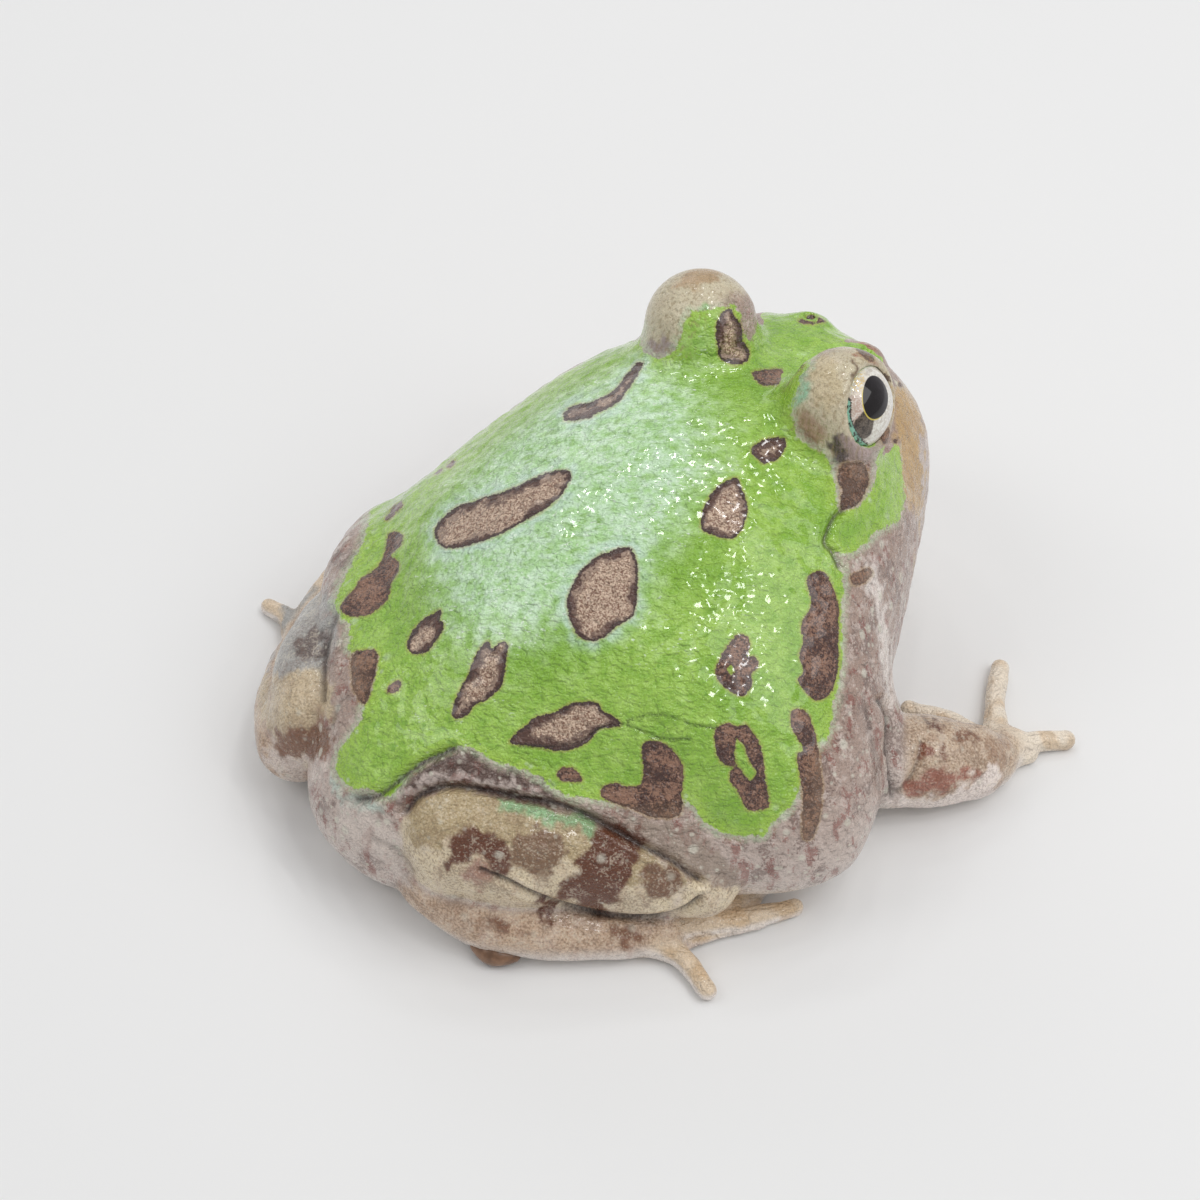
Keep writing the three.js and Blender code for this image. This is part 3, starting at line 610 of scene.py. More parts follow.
def largest_part(points, quads):
    """Only the points and quads of the largest connected surface."""
    label = np.arange(len(points))
    while True:
        low = label[quads].min(1)
        new = label.copy()
        for k in range(4):
            np.minimum.at(new, quads[:, k], low)
        new = new[new]
        if (new == label).all():
            break
        label = new
    keep = label == np.bincount(label).argmax()
    index = np.cumsum(keep) - 1
    return points[keep], index[quads[keep[quads[:, 0]]]]


# Patterns on the skin

def outline(text):
    """Points from text that gives the x,y of each."""
    return np.array([pair.split(",") for pair in text.split()], float)


def view_directions():
    """The camera's directions: to its right, up, and back towards it from the frog."""
    a, e = math.radians(AZIMUTH), math.radians(ELEVATION)
    back = np.array([math.sin(a) * math.cos(e), -math.cos(a) * math.cos(e), math.sin(e)])
    right = np.array([math.cos(a), math.sin(a), 0.0])
    return right, np.cross(back, right), back


RIGHT, UP, BACK = view_directions()
FOCAL = PICTURE / 2 / math.tan(math.radians(FIELD_OF_VIEW) / 2)
CAMERA = TARGET + BACK * FOCAL / PIXELS_PER_MM


def project(points):
    """The photo's pixel coordinates of points, and their depth."""
    away = points - CAMERA
    depth = -(away @ BACK)
    right, down = away @ RIGHT / depth, -(away @ UP) / depth
    return PICTURE / 2 + FOCAL * np.stack([right, down], 1), depth


def smooth_step(x, low, high):
    t = np.clip((x - low) / (high - low), 0, 1)
    return t * t * (3 - 2 * t)


def rounded(points, closed=True, steps=4):
    """A smooth line through points."""
    count = len(points)
    last = count - 1
    made = []
    for i in range(count if closed else last):
        around = [(i + k) % count if closed else min(max(i + k, 0), last) for k in (-1, 0, 1, 2)]
        a, b, c, d = points[around]
        for t in np.arange(steps) / steps:
            made.append(b + t * (c - a) / 2 + t * t * (a - 2.5 * b + 2 * c - d / 2)
                        + t**3 * (1.5 * b - a / 2 - 1.5 * c + d / 2))
    if not closed:
        made.append(points[-1])
    return np.array(made)


def line_distance(pixels, line, closed):
    """Distance in pixels to a line, and for a closed one which points it holds."""
    nearest = np.full(len(pixels), 1e9)
    inside = np.zeros(len(pixels), bool)
    x, y = pixels[:, 0], pixels[:, 1]
    ends = np.roll(line, -1, axis=0) if closed else line[1:]
    for (ax, ay), (bx, by) in zip(line, ends):
        wx, wy = bx - ax, by - ay
        t = np.clip(((x - ax) * wx + (y - ay) * wy) / max(wx * wx + wy * wy, 1e-9), 0, 1)
        nearest = np.minimum(nearest, (x - ax - t * wx) ** 2 + (y - ay - t * wy) ** 2)
        if closed and ay != by:
            crossing = ((ay > y) != (by > y)) & (x < wx * (y - ay) / wy + ax)
            inside ^= crossing
    return np.sqrt(nearest), inside


def near_line(pixels, line, reach):
    return ((pixels > line.min(0) - reach) & (pixels < line.max(0) + reach)).all(1)


def signed_distance(pixels, points, reach=60.0):
    """Distance in millimetres to an outline, above 0 inside it. It goes no lower than a reach in pixels."""
    line = rounded(points)
    near = near_line(pixels, line, reach)
    value = np.full(len(pixels), -reach)
    distance, inside = line_distance(pixels[near], line, True)
    value[near] = np.where(inside, distance, -np.minimum(distance, reach))
    return value / PIXELS_PER_MM


def crease_distance(pixels, points, reach=40.0):
    line = rounded(points, False)
    near = near_line(pixels, line, reach)
    value = np.full(len(pixels), reach)
    value[near] = line_distance(pixels[near], line, False)[0]
    return value / PIXELS_PER_MM


def spread(weight, quads, times):
    """Weights averaged with their neighbours' a number of times."""
    count = np.bincount(quads.ravel(), minlength=len(weight))
    for _ in range(times):
        mean = weight[quads].mean(1)
        total = sum(np.bincount(quads[:, k], mean, len(weight)) for k in range(4))
        weight = total / np.maximum(count, 1)
    return weight


def rigid_fit(source, goal):
    """Turn about the vertical and shift that bring one path of stations onto another."""
    a, b = np.array(source)[:, :2], np.array(goal)[:, :2]
    from_a, from_b = a - a.mean(0), b - b.mean(0)
    sine = (from_a[:, 0] * from_b[:, 1] - from_a[:, 1] * from_b[:, 0]).sum()
    turn = math.atan2(sine, (from_a * from_b).sum())
    rotation = np.array([[math.cos(turn), -math.sin(turn)], [math.sin(turn), math.cos(turn)]])
    return rotation, b.mean(0) - rotation @ a.mean(0)


def nearest_tube(points, paths, steps):
    return np.min([tube_distance(points.T, path, steps) for path in paths], axis=0)


def on_right_side(points):
    """Each point's place on the right side, with the left limbs carried to the right ones."""
    x, y, z = points.T
    left, right = LEGS["left"], LEGS["right"]
    across = np.stack([-x, y, z], 1)
    source = [(-station[0], station[1]) for station in left["shank"] + left["tarsus"]]
    rotation, shift = rigid_fit(source, [station[:2] for station in right["shank"] + right["tarsus"]])
    leg = across.copy()
    leg[:, :2] = across[:, :2] @ rotation.T + shift
    arm = np.stack([-(x - LEFT_ARM_SHIFT[0]), y - LEFT_ARM_SHIFT[1], z], 1)
    to_leg = nearest_tube(points, [left["shank"], left["tarsus"], *left["toes"]], 12)
    to_arm = nearest_tube(points, [arm_for("left", path) for path in [FOREARM, PALM, *FINGERS]], 8)
    skin_reach = 0.5  # how far off its tubes a limb's skin lies at most
    made = np.where((to_leg < skin_reach)[:, None], leg, across)
    return np.where((to_arm < skin_reach)[:, None], arm, made)


class Views:
    """What the photo's view says about each point: directly, or by way of its place on the right side."""

    CELL = 5  # pixels, of the map of the nearest depths
    SAME_DEPTH, ALIKE_DEPTH = 2.5, 5.0  # millimetres behind the nearest that still count as seen

    def __init__(self, points, normals, quads):
        self.pixels, depth = project(points)
        index = self.cells(self.pixels)
        nearest = np.full((PICTURE // self.CELL + 1) ** 2, 1e9)
        np.minimum.at(nearest, index, depth)
        seen = (depth < nearest[index] + self.SAME_DEPTH) & (normals @ BACK > 0.0)
        self.direct = spread(seen.astype(float), quads, 4)
        self.across_pixels, across_depth = project(on_right_side(points))
        near_enough = across_depth < nearest[self.cells(self.across_pixels)] + self.ALIKE_DEPTH
        facing = smooth_step((normals * (-1, 1, 1)) @ BACK, 0.0, 0.3) * near_enough
        self.across = (1 - self.direct) * np.where(points[:, 0] > 0, facing, 0)
        self.rest = 1 - self.direct - self.across

    def cells(self, pixels):
        column, row = (np.clip(pixels, 0, PICTURE) // self.CELL).astype(int).T
        return row * (PICTURE // self.CELL + 1) + column

    def blend(self, value, rest):
        """A value of the photo's pixels by both ways of looking, and the rest where neither sees."""
        return self.direct * value(self.pixels) + self.across * value(self.across_pixels) + self.rest * rest


def linear(colour):
    c = np.array(colour, float) / 255
    return np.where(c <= 0.04045, c / 12.92, ((c + 0.055) / 1.055) ** 2.4)


def noise_at(points, scale, offset=0.0):
    return np.array([noise.noise(Vector(p)) for p in (points * scale + offset).tolist()])


def cells_at(points, scale):
    """Distance to the nearest of the scattered cell centres, in cells."""
    return np.array([noise.voronoi(Vector(p))[0][0] for p in (points * scale).tolist()])


def lid_share(points):
    """How far each point belongs to a lid, 0 to 1."""
    share = np.zeros(len(points))
    for sign, centre in EYES.items():
        away = points - centre
        distance = np.linalg.norm(away, axis=1)
        inward, low = -sign * away[:, 0] / distance, -away[:, 2]
        edge = np.maximum(smooth_step(inward, 0.3, 0.7), smooth_step(low, 1.4, 3.4))
        share = np.maximum(share, smooth_step(distance, 7.0, 6.3) * (1 - edge))
    return share


def paint(points, normals, views, lids, under):
    """Colour of the skin under the green and its spots, and how much blotches and grains show at each point."""
    x, y, z = points.T
    legs = list(LEGS.values())

    def near_tubes(paths, reach=0.5):
        return smooth_step(nearest_tube(points, paths, 10), reach, -0.1)

    def near_arms(paths, reach=0.5):
        return near_tubes([arm_for(side, path) for side in LEGS for path in paths], reach)

    shank = near_tubes([leg["shank"] for leg in legs])
    foot = near_tubes([leg["tarsus"] for leg in legs]) * (1 - near_tubes([leg["shank"] for leg in legs], 0.2))
    toes = near_tubes([toe for leg in legs for toe in leg["toes"]], 1.0)
    hand = near_arms((FOREARM, PALM))
    fingers = near_arms(FINGERS, 1.2)
    limb = np.maximum(shank, np.maximum(foot, hand))
    digits = np.maximum(toes, fingers)
    low = smooth_step(z, 4.2, 1.6) * smooth_step(normals[:, 2], 0.65, 0.1)
    over_mouth = z - mouth_z(y)
    face = smooth_step(y + 6 * noise_at(points, 0.2, 6.1), -26, -35) * smooth_step(z, 27, 23)
    jaw = smooth_step(y, -24, -30) * smooth_step(over_mouth, 0.2, -0.4) * (1 - np.maximum(limb, fingers))
    layers = [
        # Paler towards the bottom of the flank: painted light that lifts the shade there.
        (PALE_WITH_PAINTED_LIGHT, 0.9 * (1 - smooth_step(z, 2.0, 21.0))),
        (SHANK, shank),
        (FOOT, foot),
        (TOE, toes),
        (HAND, hand),
        (FINGER, fingers),
        # Soles: their own pale colour, made brighter as painted light from below.
        (SOLE_WITH_PAINTED_LIGHT, low * np.maximum(limb, toes)),
        (LIP, face * (1 - views.direct) * smooth_step(over_mouth, -0.2, 0.4)),
        (JAW, jaw),
        # Belly: its own cream colour, made brighter as painted light from below.
        (BELLY_WITH_PAINTED_LIGHT, under * (1 - 0.4 * limb)),
        (LID, lids),
    ]
    ragged = np.stack([noise_at(points, 0.7, 3.1), noise_at(points, 0.7, 8.6)], 1) * 9
    ragged += np.stack([noise_at(points, 1.9, 1.7), noise_at(points, 1.9, 5.2)], 1) * 5
    patched = np.zeros(len(points))
    for text, tint, soft in PATCHES.values():
        edge, line = soft / PIXELS_PER_MM / 2, outline(text)
        weight = views.blend(lambda p: smooth_step(signed_distance(p + ragged, line), -edge, edge), 0.0)
        layers.append((tint, weight))
        patched = np.maximum(patched, weight)
    layers.append((DIGIT_TAN, 0.5 * digits * smooth_step(noise_at(points, 0.45, 9.2), -0.05, 0.35)))
    colour = linear(FLANK) + 0 * points
    for tint, weight in layers:
        colour += weight[:, None] * (linear(tint) - colour)
    mottle = (1 - 0.8 * limb) * (1 - 0.85 * lids) * (1 - 0.6 * under) * (1 - digits)
    mottle *= (1 - 0.6 * patched) * (1 - 0.55 * smooth_step(y, -28, -36))
    return colour, mottle, limb * (1 - 0.85 * digits) * (1 - 0.95 * low) * (1 - 0.3 * patched)


def green_distance(points, views):
    """Signed distance to the green's edge. Where the photo doesn't look, the green ends at a height."""
    x, y, z = points.T
    head = z - 26.5 - 0.5 * np.abs(x) + 2.4 * noise_at(points, 0.22, 4.4) + 0.8 * noise_at(points, 0.8, 2.9)
    forward = smooth_step(y, -24, -32)
    unseen = np.clip(forward * head + (1 - forward) * (z - 24.0), -4, 4)
    unseen = np.where(y > 10, -4, unseen)
    return views.blend(lambda p: signed_distance(p, outline(GREEN)), unseen)


def spot_distance(views):
    """Signed distance to the nearest spot, how much of a pale halo there is round it, and if it has rings."""
    def distance_to_mark(text):
        return views.blend(lambda p: signed_distance(p, outline(text)), -6.0)

    made = np.full(len(views.pixels), -6.0)
    halo, ringed = np.zeros(len(made)), np.zeros(len(made))
    for name, text in SPOTS.items():
        distance = distance_to_mark(text)
        if name in HOLES:
            distance = np.minimum(distance, -distance_to_mark(HOLES[name]))
        if name in HALOED:
            halo = np.maximum(halo, smooth_step(distance, -1.7, -0.2))
        if name in RINGED:
            ringed = np.maximum(ringed, smooth_step(distance, -0.6, -0.3))
        made = np.maximum(made, distance)
    return made, halo, ringed


def relief(points, views, lids, limb, under):
    """Height to add along the normals, and how much painted shade darkens the skin in the creases."""
    calm = (1 - lids) * (1 - 0.75 * limb) * (1 - 0.7 * under)
    height = 0.22 * noise_at(points, 0.16) * calm + 0.09 * noise_at(points, 0.55, 7.3) * calm
    height += 0.12 * (0.45 - np.clip(cells_at(points, 0.72), 0, 0.9)) * calm
    dark = np.zeros(len(points))
    for text, deep, wide in CREASES.values():
        distance = views.blend(lambda p: crease_distance(p, outline(text)), 4.0)
        valley = np.exp(-((distance / wide) ** 2))
        shoulder = np.exp(-(((distance - 2.3 * wide) / (1.2 * wide)) ** 2))
        height += deep * (0.3 * shoulder - valley)
        # Painted shade along each crease's valley.
        dark = np.maximum(dark, np.clip(deep * 1.6, 0.3, 0.9) * np.exp(-((distance / (0.55 * wide)) ** 2)))
    return height, dark


# Objects

def to_world(points):
    return (np.asarray(points, float) + SHIFT) * MM


def link(name, data, place=None):
    made = bpy.data.objects.new(name, data)
    if place is not None:
        made.location = place
    bpy.context.scene.collection.objects.link(made)
    return made


def make_object(name, points, faces, material):
    mesh = bpy.data.meshes.new(name)
    mesh.from_pydata(to_world(points).tolist(), [], [tuple(f) for f in faces])
    mesh.polygons.foreach_set("use_smooth", [True] * len(mesh.polygons))
    mesh.materials.append(material)
    return link(name, mesh)


def set_values(made, **fields):
    """Values of the object's points under names, for its material."""
    for name, values in fields.items():
        attribute = made.data.attributes.new(name, "FLOAT", "POINT")
        attribute.data.foreach_set("value", np.asarray(values, np.float32))


def set_colours(made, name, values):
    attribute = made.data.attributes.new(name, "FLOAT_COLOR", "POINT")
    rgba = np.ones((len(values), 4), np.float32)
    rgba[:, :3] = values
    attribute.data.foreach_set("color", rgba.ravel())


class Wire:
    """A value in a material's nodes. Sums, differences and products of wires make nodes."""

    def __init__(self, shader, socket):
        self.shader, self.socket = shader, socket

    def __add__(self, other):
        return self.shader.math("ADD", self, other)

    def __sub__(self, other):
        return self.shader.math("SUBTRACT", self, other)

    def __rsub__(self, other):
        return self.shader.math("SUBTRACT", other, self)

    def __mul__(self, other):
        return self.shader.math("MULTIPLY", self, other)

    def step(self, low, high, to_low=0.0, to_high=1.0):
        """The value taken smoothly from low and high to two other values."""
        inputs = {"Value": self, "From Min": low, "From Max": high, "To Min": to_low, "To Max": to_high}
        return self.shader.node("MapRange", "Result", inputs, interpolation_type="SMOOTHSTEP")

    def beside(self, output):
        """Another output of the same node."""
        return Wire(self.shader, self.socket.node.outputs[output])


class Shader:
    """A short way to write a material's nodes. Values are wires, numbers or colours from 0 to 255."""

    def __init__(self, name):
        self.material = bpy.data.materials.new(name)
        self.material.use_nodes = True
        self.nodes = self.material.node_tree.nodes
        self.surface = self.nodes["Principled BSDF"]

    def put(self, socket, value):
        if isinstance(value, Wire):
            self.material.node_tree.links.new(value.socket, socket)
        elif socket.type == "RGBA":
            socket.default_value = (*linear(value), 1)
        else:
            socket.default_value = value

    def node(self, kind, output, inputs, **settings):
        """An output of a new node."""
        made = self.nodes.new("ShaderNode" + kind)
        for name, value in settings.items():
            setattr(made, name, value)
        for name, value in inputs.items():
            self.put(made.inputs[name], value)
        return Wire(self, made.outputs[output])

    def set(self, **values):
        for name, value in values.items():
            self.put(self.surface.inputs[name.replace("_", " ")], value)

    def attribute(self, name, output="Fac"):
        return self.node("Attribute", output, {}, attribute_name=name)

    def place(self):
        """The object's coordinates in millimetres."""
        at = self.node("TexCoord", "Object", {})
        return self.node("VectorMath", 0, {0: at, "Scale": 1 / MM}, operation="SCALE")

    def math(self, operation, a, b=0.0):
        return self.node("Math", 0, {0: a, 1: b}, operation=operation)

    def larger(self, a, b):
        return self.math("MAXIMUM", a, b)

    def mix(self, share, a, b, blend="MIX"):
        return self.node("Mix", 2, {"Factor": share, 6: a, 7: b}, data_type="RGBA", blend_type=blend)

    def layered(self, base, *layers):
        """A colour under layers, which are a share and a colour each."""
        for share, tint in layers:
            base = self.mix(share, base, tint)
        return base

    def scaled(self, place, factors):
        return self.node("VectorMath", 0, {0: place, 1: factors}, operation="MULTIPLY")

    def shifted(self, place, offset):
        shift = (17 * offset, -11 * offset, 23 * offset)
        return self.node("VectorMath", 0, {0: place, 1: shift}, operation="ADD")

    def stretched(self, place, share):
        """Coordinates that make a pattern longer from side to side of the picture's view."""
        inputs = {"Vector": place, "Angle": -math.radians(AZIMUTH)}
        return self.scaled(self.node("VectorRotate", 0, inputs, rotation_type="Z_AXIS"), (share, 1, 1))

    def noise(self, place, scale, detail=2.0, offset=0.0):
        """Smooth noise, about -1 to 1."""
        if offset:
            place = self.shifted(place, offset)
        return (self.node("TexNoise", 0, {"Vector": place, "Scale": scale, "Detail": detail}) - 0.5) * 2.0

    def cells(self, place, scale):
        return self.node("TexVoronoi", "Distance", {"Vector": place, "Scale": scale})

    def domes(self, place, scale, least=0.14, most=0.38):
        """Round domes scattered at random, 1 at their tops. Their radii are in cells."""
        cells = self.cells(place, scale)
        chance = self.node("SeparateColor", 0, {0: cells.beside("Color")})
        ratio = self.math("DIVIDE", cells, chance.step(0.0, 1.0, least, most))
        return self.larger(1.0 - ratio * ratio, 0.0) * chance.beside(1).step(0.45, 0.5)

    def bump(self, height):
        """Height in millimetres."""
        self.set(Normal=self.node("Bump", 0, {"Strength": 1.0, "Distance": MM, "Height": height}))


def skin_material():
    s = Shader("skin")
    place = s.place()
    wide = s.stretched(place, 0.42)
    green, spot, halo, ringed, rim = map(s.attribute, ("green", "spot", "halo", "ringed", "rim"))
    mottle, limb, lid, dark, pale, pustule = map(
        s.attribute, ("mottle", "limb", "lid", "dark", "pale", "pustule"))
    large, middle = s.noise(place, 0.16, 2), s.noise(place, 0.75, 2)
    fine, stipple = s.noise(place, 2.6, 2), s.noise(place, 6.0, 1)
    blotch, streak = s.noise(place, 0.36, 3, 5.0), s.noise(wide, 1.5, 1, 3.0)
    grains = fine * 0.6 + stipple

    # Ground colour of flanks and limbs: brown and red blotches, pale clouds, fine grains.
    upright = s.noise(s.scaled(place, (0.75, 0.75, 0.25)), 1.0, 2, 9.0)
    patchy = s.noise(place, 4.2, 1, 12.0) + middle * 0.55 + blotch * 0.5
    ground = s.layered(
        s.attribute("paint", "Color"),
        (mottle * (blotch + fine * 0.45 + stipple * 0.4).step(0.02, 0.3, 0, 0.72), FLANK_DARK),
        (mottle * (upright + stipple * 0.3).step(0.1, 0.3, 0, 0.66), (140, 78, 68)),
        (mottle * (middle + fine * 0.6 + stipple * 0.4).step(-0.04, -0.42, 0, 0.8), (212, 194, 184)),
        (limb * patchy.step(0.02, 0.3, 0, 0.5), (118, 84, 60)),
        (limb * patchy.step(-0.1, -0.4, 0, 0.45), (236, 222, 198)))
    ground = s.mix(1.0, ground, stipple.step(-0.5, 0.5, 0.88, 1.1), "MULTIPLY")

    # Pale pustules, and a pale rim where the ground meets the green.
    big, small = s.domes(place, 0.55), s.domes(place, 1.15)
    border = green.step(1.8, 0.6) * green.step(-1.6, -0.5) * small
    dots = pustule * s.larger(s.larger(big, small * 0.8), border)
    green_edge = green + (middle * 0.5 + fine * 0.26 + stipple * 0.14)
    ground = s.layered(
        ground,
        (dots.step(0.02, 0.8, 0, 0.68), (220, 216, 200)),
        (green_edge.step(-1.0, -0.05) * rim * fine.step(-0.3, 0.3, 0.35, 0.8), (200, 214, 180)))

    # Green of the back: bright at the sides, pale and bluish in the middle, partly its own colour and partly a
    # painted sheen, with darker flecks, darker streaks of painted shade along the fine wrinkles, and pale
    # flecks of painted glints.
    bright = s.mix((large + middle * 0.8).step(-0.5, 0.5), (134, 183, 50), (168, 209, 86))
    mint_and_sheen = s.mix((middle + fine * 0.7).step(-0.4, 0.4), (176, 220, 152), (206, 236, 200))
    # Pale flecks in the colour: painted glints of the wet skin.
    painted_glints = s.noise(s.stretched(place, 0.5), 4.2, 1, 7.0).step(0.2, 0.34) * streak.step(0.05, -0.25)
    back = s.layered(
        bright,
        ((pale + large * 0.4 + middle * 0.3).step(0.05, 0.85), mint_and_sheen),
        (green_edge.step(1.8, 0.1, 0, 0.5), (172, 208, 72)),
        (s.cells(place, 0.3).step(0.2, 0.1, 0, 0.75) * fine.step(-0.1, 0.2), (112, 164, 40)),
        # Darker streaks along the fine wrinkles: painted shade in their valleys.
        ((streak + large * 0.5 + fine * 0.3).step(0.16, 0.42, 0, 0.5), (126, 178, 44)),
        (halo * middle.step(-0.3, 0.2, 0.2, 0.7), (198, 226, 208)),
        (painted_glints * (pale + large * 0.6).step(0.0, 0.4) * 0.75, (236, 250, 232)),
        (dots * 0.7, (214, 232, 198)))
    back = s.mix(1.0, back, grains.step(-0.6, 0.6, 0.9, 1.08), "MULTIPLY")

    # Spots: a crisp dark rim. The larger ones have a pale line and a dark one inside it and a light middle.
    spot_edge = spot + middle * 0.16 + fine * 0.2 + stipple * 0.12
    depth = spot_edge + blotch * 1.3 + middle * 0.5 + fine * 0.3
    plain = s.mix((fine + stipple + blotch * 1.5).step(-0.4, 0.5), (68, 34, 24), (152, 112, 90))
    core = s.mix(grains.step(-0.4, 0.4), (128, 92, 72), (218, 192, 168))
    pale_line = depth.step(0.42, 0.55) * depth.step(0.85, 0.7) * large.step(-0.15, 0.1, 0.3, 0.95)
    inner = s.mix(pale_line, s.mix(depth.step(0.55, 1.05), (88, 56, 44), core), (164, 138, 120))
    dark_rim = (spot_edge + middle * 0.3).step(0.42, 0.16) * ringed.step(0, 1, 0.6, 1)
    brown = s.layered(plain, (ringed, inner), (dark_rim, (62, 34, 26)))
    fading = green_edge.step(0.2, -1.6, 0, 0.3) * blotch.step(-0.3, 0.3, 0.6, 1.0)

    # All of them together, with fine upright wrinkles and brown specks on the lids, and painted shade in the
    # creases.
    wrinkles = s.noise(s.scaled(place, (2.6, 2.6, 0.7)), 1.0, 3, 2.0)
    s.set(Base_Color=s.layered(
        ground,
        (green_edge.step(-0.12, 0.14), back),
        (spot_edge.step(-0.32, -0.02, 0, 0.4), (176, 142, 84)),
        (spot_edge.step(-0.04, 0.05) * (1.0 - fading), brown),
        (dots * spot.step(0, 0.2) * 0.5, (176, 140, 120)),
        (lid * wrinkles.step(0.02, 0.3, 0, 0.5), (150, 128, 92)),
        (lid * grains.step(0.2, 0.6, 0, 0.5), (104, 84, 66)),
        # Painted shade in the creases.
        (dark, (62, 50, 46))))

    # Granular, moist surface. The grains' pattern is warped, so that they don't lie in rows.
    swirl = s.node("TexNoise", "Color", {"Vector": place, "Scale": 0.9, "Detail": 0.0})
    warped = s.node("VectorMath", 0, {0: swirl, 1: (1.1, 1.1, 1.1), 2: s.stretched(place, 0.7)},
                    operation="MULTIPLY_ADD")
    coarse, tiny = s.cells(warped, 1.15), s.cells(warped, 2.6)
    ripples = s.noise(s.stretched(place, 0.55), 2.5, 1, 11.0)
    bumps = coarse * coarse * -0.2 + tiny * tiny * -0.14 + streak * -0.08 + ripples * 0.13
    bumps += s.noise(place, 4.5, 0, 6.0) * 0.04
    calm = 1.0 - (lid * 0.8 + limb * 0.35)
    s.bump(calm * bumps + lid * (wrinkles * -0.12 + fine * 0.04) + stipple * 0.01)
    s.set(Roughness=fine.step(-0.4, 0.4, 0.22, 0.38), Coat_Weight=green_edge.step(-0.6, 0.6, 0.35, 0.85),
          Coat_Roughness=0.07, Specular_IOR_Level=0.5)
    return s.material


def make_skin():
    points, quads = largest_part(*mesh_of(skin_field()))
    normals = normals_of(points, quads)
    views = Views(points, normals, quads)
    x, y, z = points.T
    lids = lid_share(points)
    under = smooth_step(-normals[:, 2], 0.1, 0.7)
    colour, mottle, limb = paint(points, normals, views, lids, under)
    green = green_distance(points, views)
    spot, halo, ringed = spot_distance(views)
    height, dark = relief(points, views, lids, limb, under)
    flank = smooth_step(green, 2.2, -0.4) * (1 - lids) * (1 - under) * smooth_step(z, 1.5, 5)
    pustule = flank * (1 - 0.8 * smooth_step(y, -24, -32)) * (1 - 0.65 * limb) * smooth_step(y, -34, -26)
    # The pale middle of the back: partly the skin's own paler green, partly a painted sheen.
    pale = smooth_step(np.hypot(x - 6, (y - 0.5) * 0.7), 21, 5) * smooth_step(z, 20, 30)
    raised = points + (height * smooth_step(z, 0.0, 0.5))[:, None] * normals
    raised[:, 2] = np.maximum(raised[:, 2], 0)

    made = make_object("skin", raised, quads.tolist(), skin_material())
    set_values(made, green=green, spot=spot, halo=halo, ringed=ringed, mottle=mottle, limb=limb, lid=lids,
               dark=dark, pale=pale, pustule=pustule, rim=smooth_step(y, -30, -24))
    set_colours(made, "paint", colour)
    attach(made, "root")
    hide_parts(*[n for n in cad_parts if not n.startswith(("eye_", "spade_"))])


# Eyes

def eye_frame(sign):
    """The eye's own directions: across the pupil, up along it, and out along the gaze."""
    out = unit(LIDS[sign][2])
    up = mirrored(UP) if sign > 0 else UP
    up = unit(up - (up @ out) * out)
    return np.stack([np.cross(up, out) * -sign, up, out])


def eye_material():
    """Silvery iris, dark pupil and a dark wedge below it. Distances are in millimetres on the eyeball."""
    s = Shader("eye")
    across, up, wedge, ring = (s.attribute(name) for name in ("across", "up", "wedge", "ring"))
    place = s.place()
    grain, fine = s.noise(place, 1.6, 3), s.noise(place, 6, 2)
    golden = across.step(-0.3, -1.6) * up.step(-0.2, 1.0) * fine.step(-0.05, 0.2)
    rosy = across.step(-0.9, -1.8) * up.step(0.9, -0.3) * fine.step(0.3, -0.3, 0.4, 1.0)
    smoke = s.mix((grain + fine).step(-0.4, 0.4), (58, 48, 42), (112, 100, 88))
    iris = s.layered(
        s.mix((grain + fine * 0.8).step(-0.4, 0.4), (206, 198, 186), (244, 242, 234)),
        (golden * 0.8, (222, 186, 92)),
        (rosy * 0.8, (198, 166, 150)),
        (across.step(1.9, 3.4) * 0.5, (196, 192, 186)),
        ((wedge + fine * 0.25).step(-0.08, 0.1), smoke))

    # Turquoise line with dark edges at the lower front.
    away = ring + fine * 0.3
    iris = s.layered(
        iris,
        (away.step(0.62, 0.5), (52, 44, 40)),
        (away.step(0.46, 0.3), (150, 206, 186)),
        (away.step(0.34, 0.24) * grain.step(0.0, 0.2), (60, 70, 60)))

    # Oval pupil with a yellow rim at the lower front; the pupil is lighter towards one side with a painted
    # sheen.
    squares = [s.math("POWER", s.math("ABSOLUTE", length), 2.0)
               for length in ((across + up * -0.1) * (1 / 1.76), up * (1 / 2.3))]
    oval = s.math("SQRT", squares[0] + squares[1])
    low_front = (across + up * 0.8).step(-0.2, -1.8)
    pupil = s.mix((across + up * 0.6 + grain * 1.4).step(-0.6, 1.8), (14, 6, 10), (34, 28, 34))
    colour = s.layered(
        iris,
        (oval.step(1.08, 1.03, 0, 0.9) * low_front, (226, 206, 92)),
        (oval.step(1.02, 0.98), pupil))
    s.set(Base_Color=colour, Roughness=0.3, Specular_IOR_Level=0.1, Coat_Weight=1.0, Coat_Roughness=0.03)
    return s.material


def ring_faces(rings, sides, start=0):
    """Quads between each ring of points and the next."""
    return [(start + i * sides + j, start + i * sides + (j + 1) % sides,
             start + (i + 1) * sides + (j + 1) % sides, start + (i + 1) * sides + j)
            for i in range(rings - 1) for j in range(sides)]


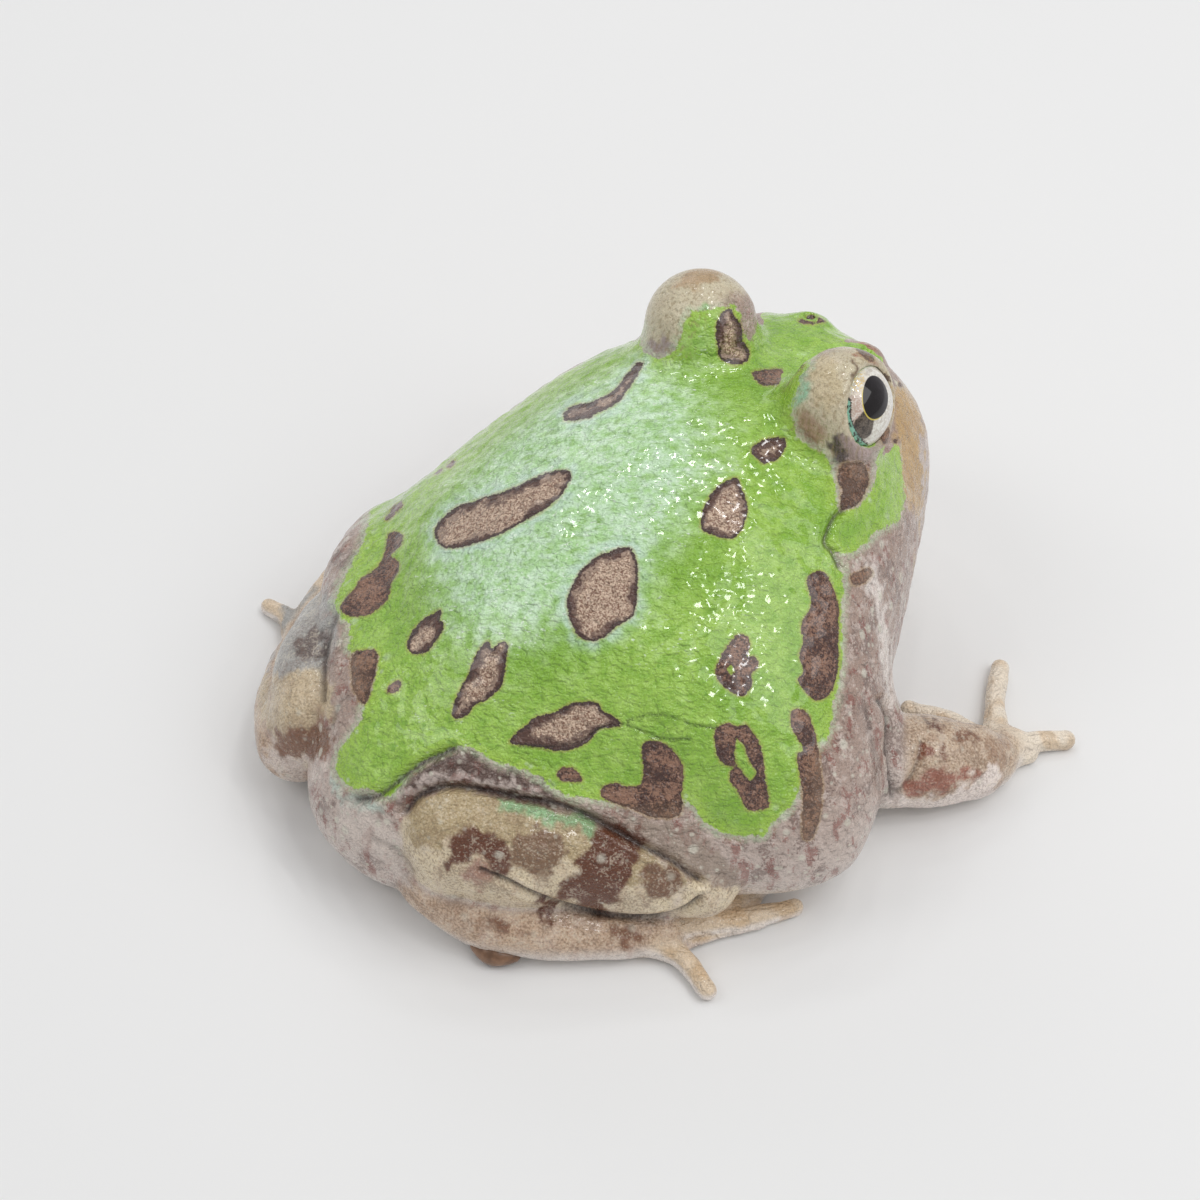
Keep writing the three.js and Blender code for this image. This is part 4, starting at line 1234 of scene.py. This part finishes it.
def make_eye(side, sign, material):
    rings, sides = 110, 160
    directions = eye_frame(sign)
    polar, turn = np.linspace(0, np.pi, rings + 1)[1:-1], np.linspace(0, 2 * np.pi, sides, endpoint=False)
    p, r = np.meshgrid(polar, turn, indexing="ij")
    local = np.stack([np.sin(p) * np.cos(r), np.sin(p) * np.sin(r), np.cos(p)], -1).reshape(-1, 3)
    local = np.vstack([[0, 0, 1], local, [0, 0, -1]])
    bulge = 1 + 0.018 * smooth_step(local[:, 2], 0.75, 1.0)
    points = EYES[sign] + EYE_RADIUS * 0.995 * bulge[:, None] * (local @ directions)
    last = len(points) - 1
    faces = [f[::-1] for f in ring_faces(rings - 1, sides, 1)]
    for j in range(sides):
        k = (j + 1) % sides
        faces += [(0, 1 + j, 1 + k), (last, last - sides + k, last - sides + j)]
    if np.linalg.det(directions) < 0:
        faces = [f[::-1] for f in faces]
    made = make_object("eyeball_" + side, points, faces, material)
    beside = np.hypot(local[:, 0], local[:, 1])
    flat = np.arctan2(beside, local[:, 2]) * EYE_RADIUS
    disc = (flat / np.maximum(beside, 1e-6))[:, None] * local[:, :2]
    set_values(made, across=disc[:, 0], up=disc[:, 1],
               wedge=signed_distance(disc * PIXELS_PER_MM, outline(EYE_WEDGE) * PIXELS_PER_MM),
               ring=crease_distance(disc * PIXELS_PER_MM, outline(EYE_RING) * PIXELS_PER_MM))
    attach(made, "root")
    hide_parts("eye_" + side)


# Horn of the feet

def keratin_material():
    s = Shader("horn")
    streaks = s.noise(s.place(), 1.1, 3).step(-0.5, 0.5)
    s.set(Base_Color=s.mix(streaks, (104, 74, 52), (150, 112, 84)), Roughness=0.34, Coat_Weight=0.3)
    return s.material


def make_spade(side, material):
    """A fine tube of horn along the spade's stations, closed to a rounded edge at both ends."""
    stations = LEGS[side]["spade"]
    steps, sides = 28, 24
    angles = [2 * math.pi * j / sides for j in range(sides)]
    centres = [path_point(stations, i / steps) for i in range(steps + 1)]
    points = []
    for i, centre in enumerate(centres):
        t = i / steps
        ahead = unit(centres[min(i + 1, steps)] - centres[max(i - 1, 0)])
        beside = unit(np.cross(ahead, [0, 0, 1]))
        above = np.cross(beside, ahead)
        thick = radius_at(stations, t) * math.sqrt(max(1 - (2 * t - 1) ** 6, 0.0)) + 0.02
        points += [centre + thick * (math.cos(angle) * beside + math.sin(angle) * above) for angle in angles]
    caps = [tuple(reversed(range(sides))), tuple(steps * sides + j for j in range(sides))]
    points = np.array(points)
    points[:, 2] = np.maximum(points[:, 2], 0)
    made = make_object("horn_" + side, points, ring_faces(steps + 1, sides) + caps, material)
    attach(made, "root")
    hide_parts("spade_" + side)


# Camera, floor and light

def make_camera():
    data = bpy.data.cameras.new("camera")
    data.lens = FOCAL / PICTURE * data.sensor_width
    data.clip_start = 0.01
    made = link("camera", data, to_world(CAMERA))
    made.rotation_euler = Vector(BACK).to_track_quat("Z", "Y").to_euler()
    bpy.context.scene.camera = made


def make_floor():
    size = 1.5 / MM  # half of its width
    s = Shader("floor")
    s.set(Base_Color=(238, 238, 238), Roughness=0.75)
    corners = np.array([(-size, -size, 0), (size, -size, 0), (size, size, 0), (-size, size, 0)])
    make_object("floor", corners, [(0, 1, 2, 3)], s.material)


def make_light(name, place, size, power):
    data = bpy.data.lights.new(name, "AREA")
    data.size = size
    data.energy = power
    link(name, data, place).rotation_euler = Vector(place).to_track_quat("Z", "Y").to_euler()


# Small lamps, spread so that the wet grains of the whole back glint.
LAMPS = [(-0.36, -0.08, 0.5), (-0.25, -0.12, 0.57), (-0.3, 0.06, 0.55), (-0.17, -0.03, 0.61),
         (-0.13, -0.17, 0.6), (-0.06, -0.28, 0.57), (-0.02, -0.2, 0.6), (0.04, -0.34, 0.52),
         (0.12, -0.16, 0.6), (0.2, -0.3, 0.52), (0.3, -0.2, 0.52), (0.36, -0.06, 0.52)]
LAMP_SIZE, LAMP_POWER = 0.036, 0.085


def make_world():
    world = bpy.data.worlds.new("studio")
    world.use_nodes = True
    background = world.node_tree.nodes["Background"]
    background.inputs["Color"].default_value = (1, 1, 1, 1)
    background.inputs["Strength"].default_value = 0.445
    bpy.context.scene.world = world


bpy.context.scene.view_settings.view_transform = "Standard"
make_camera()
make_floor()
make_world()
make_light("softbox, right", (-0.34, -0.16, 0.5), 0.4, 0.95)
make_light("softbox, left rear", (0.3, 0.3, 0.55), 0.3, 0.55)
for number, place in enumerate(LAMPS):
    make_light("lamp over the head, " + str(number + 1), place, LAMP_SIZE, LAMP_POWER)
make_light("lamp, left front", (0.5, -0.3, 0.3), 0.3, 0.35)
make_skin()
eye_look, horn_look = eye_material(), keratin_material()
for side, sign in (("left", 1), ("right", -1)):
    make_eye(side, sign, eye_look)
    make_spade(side, horn_look)
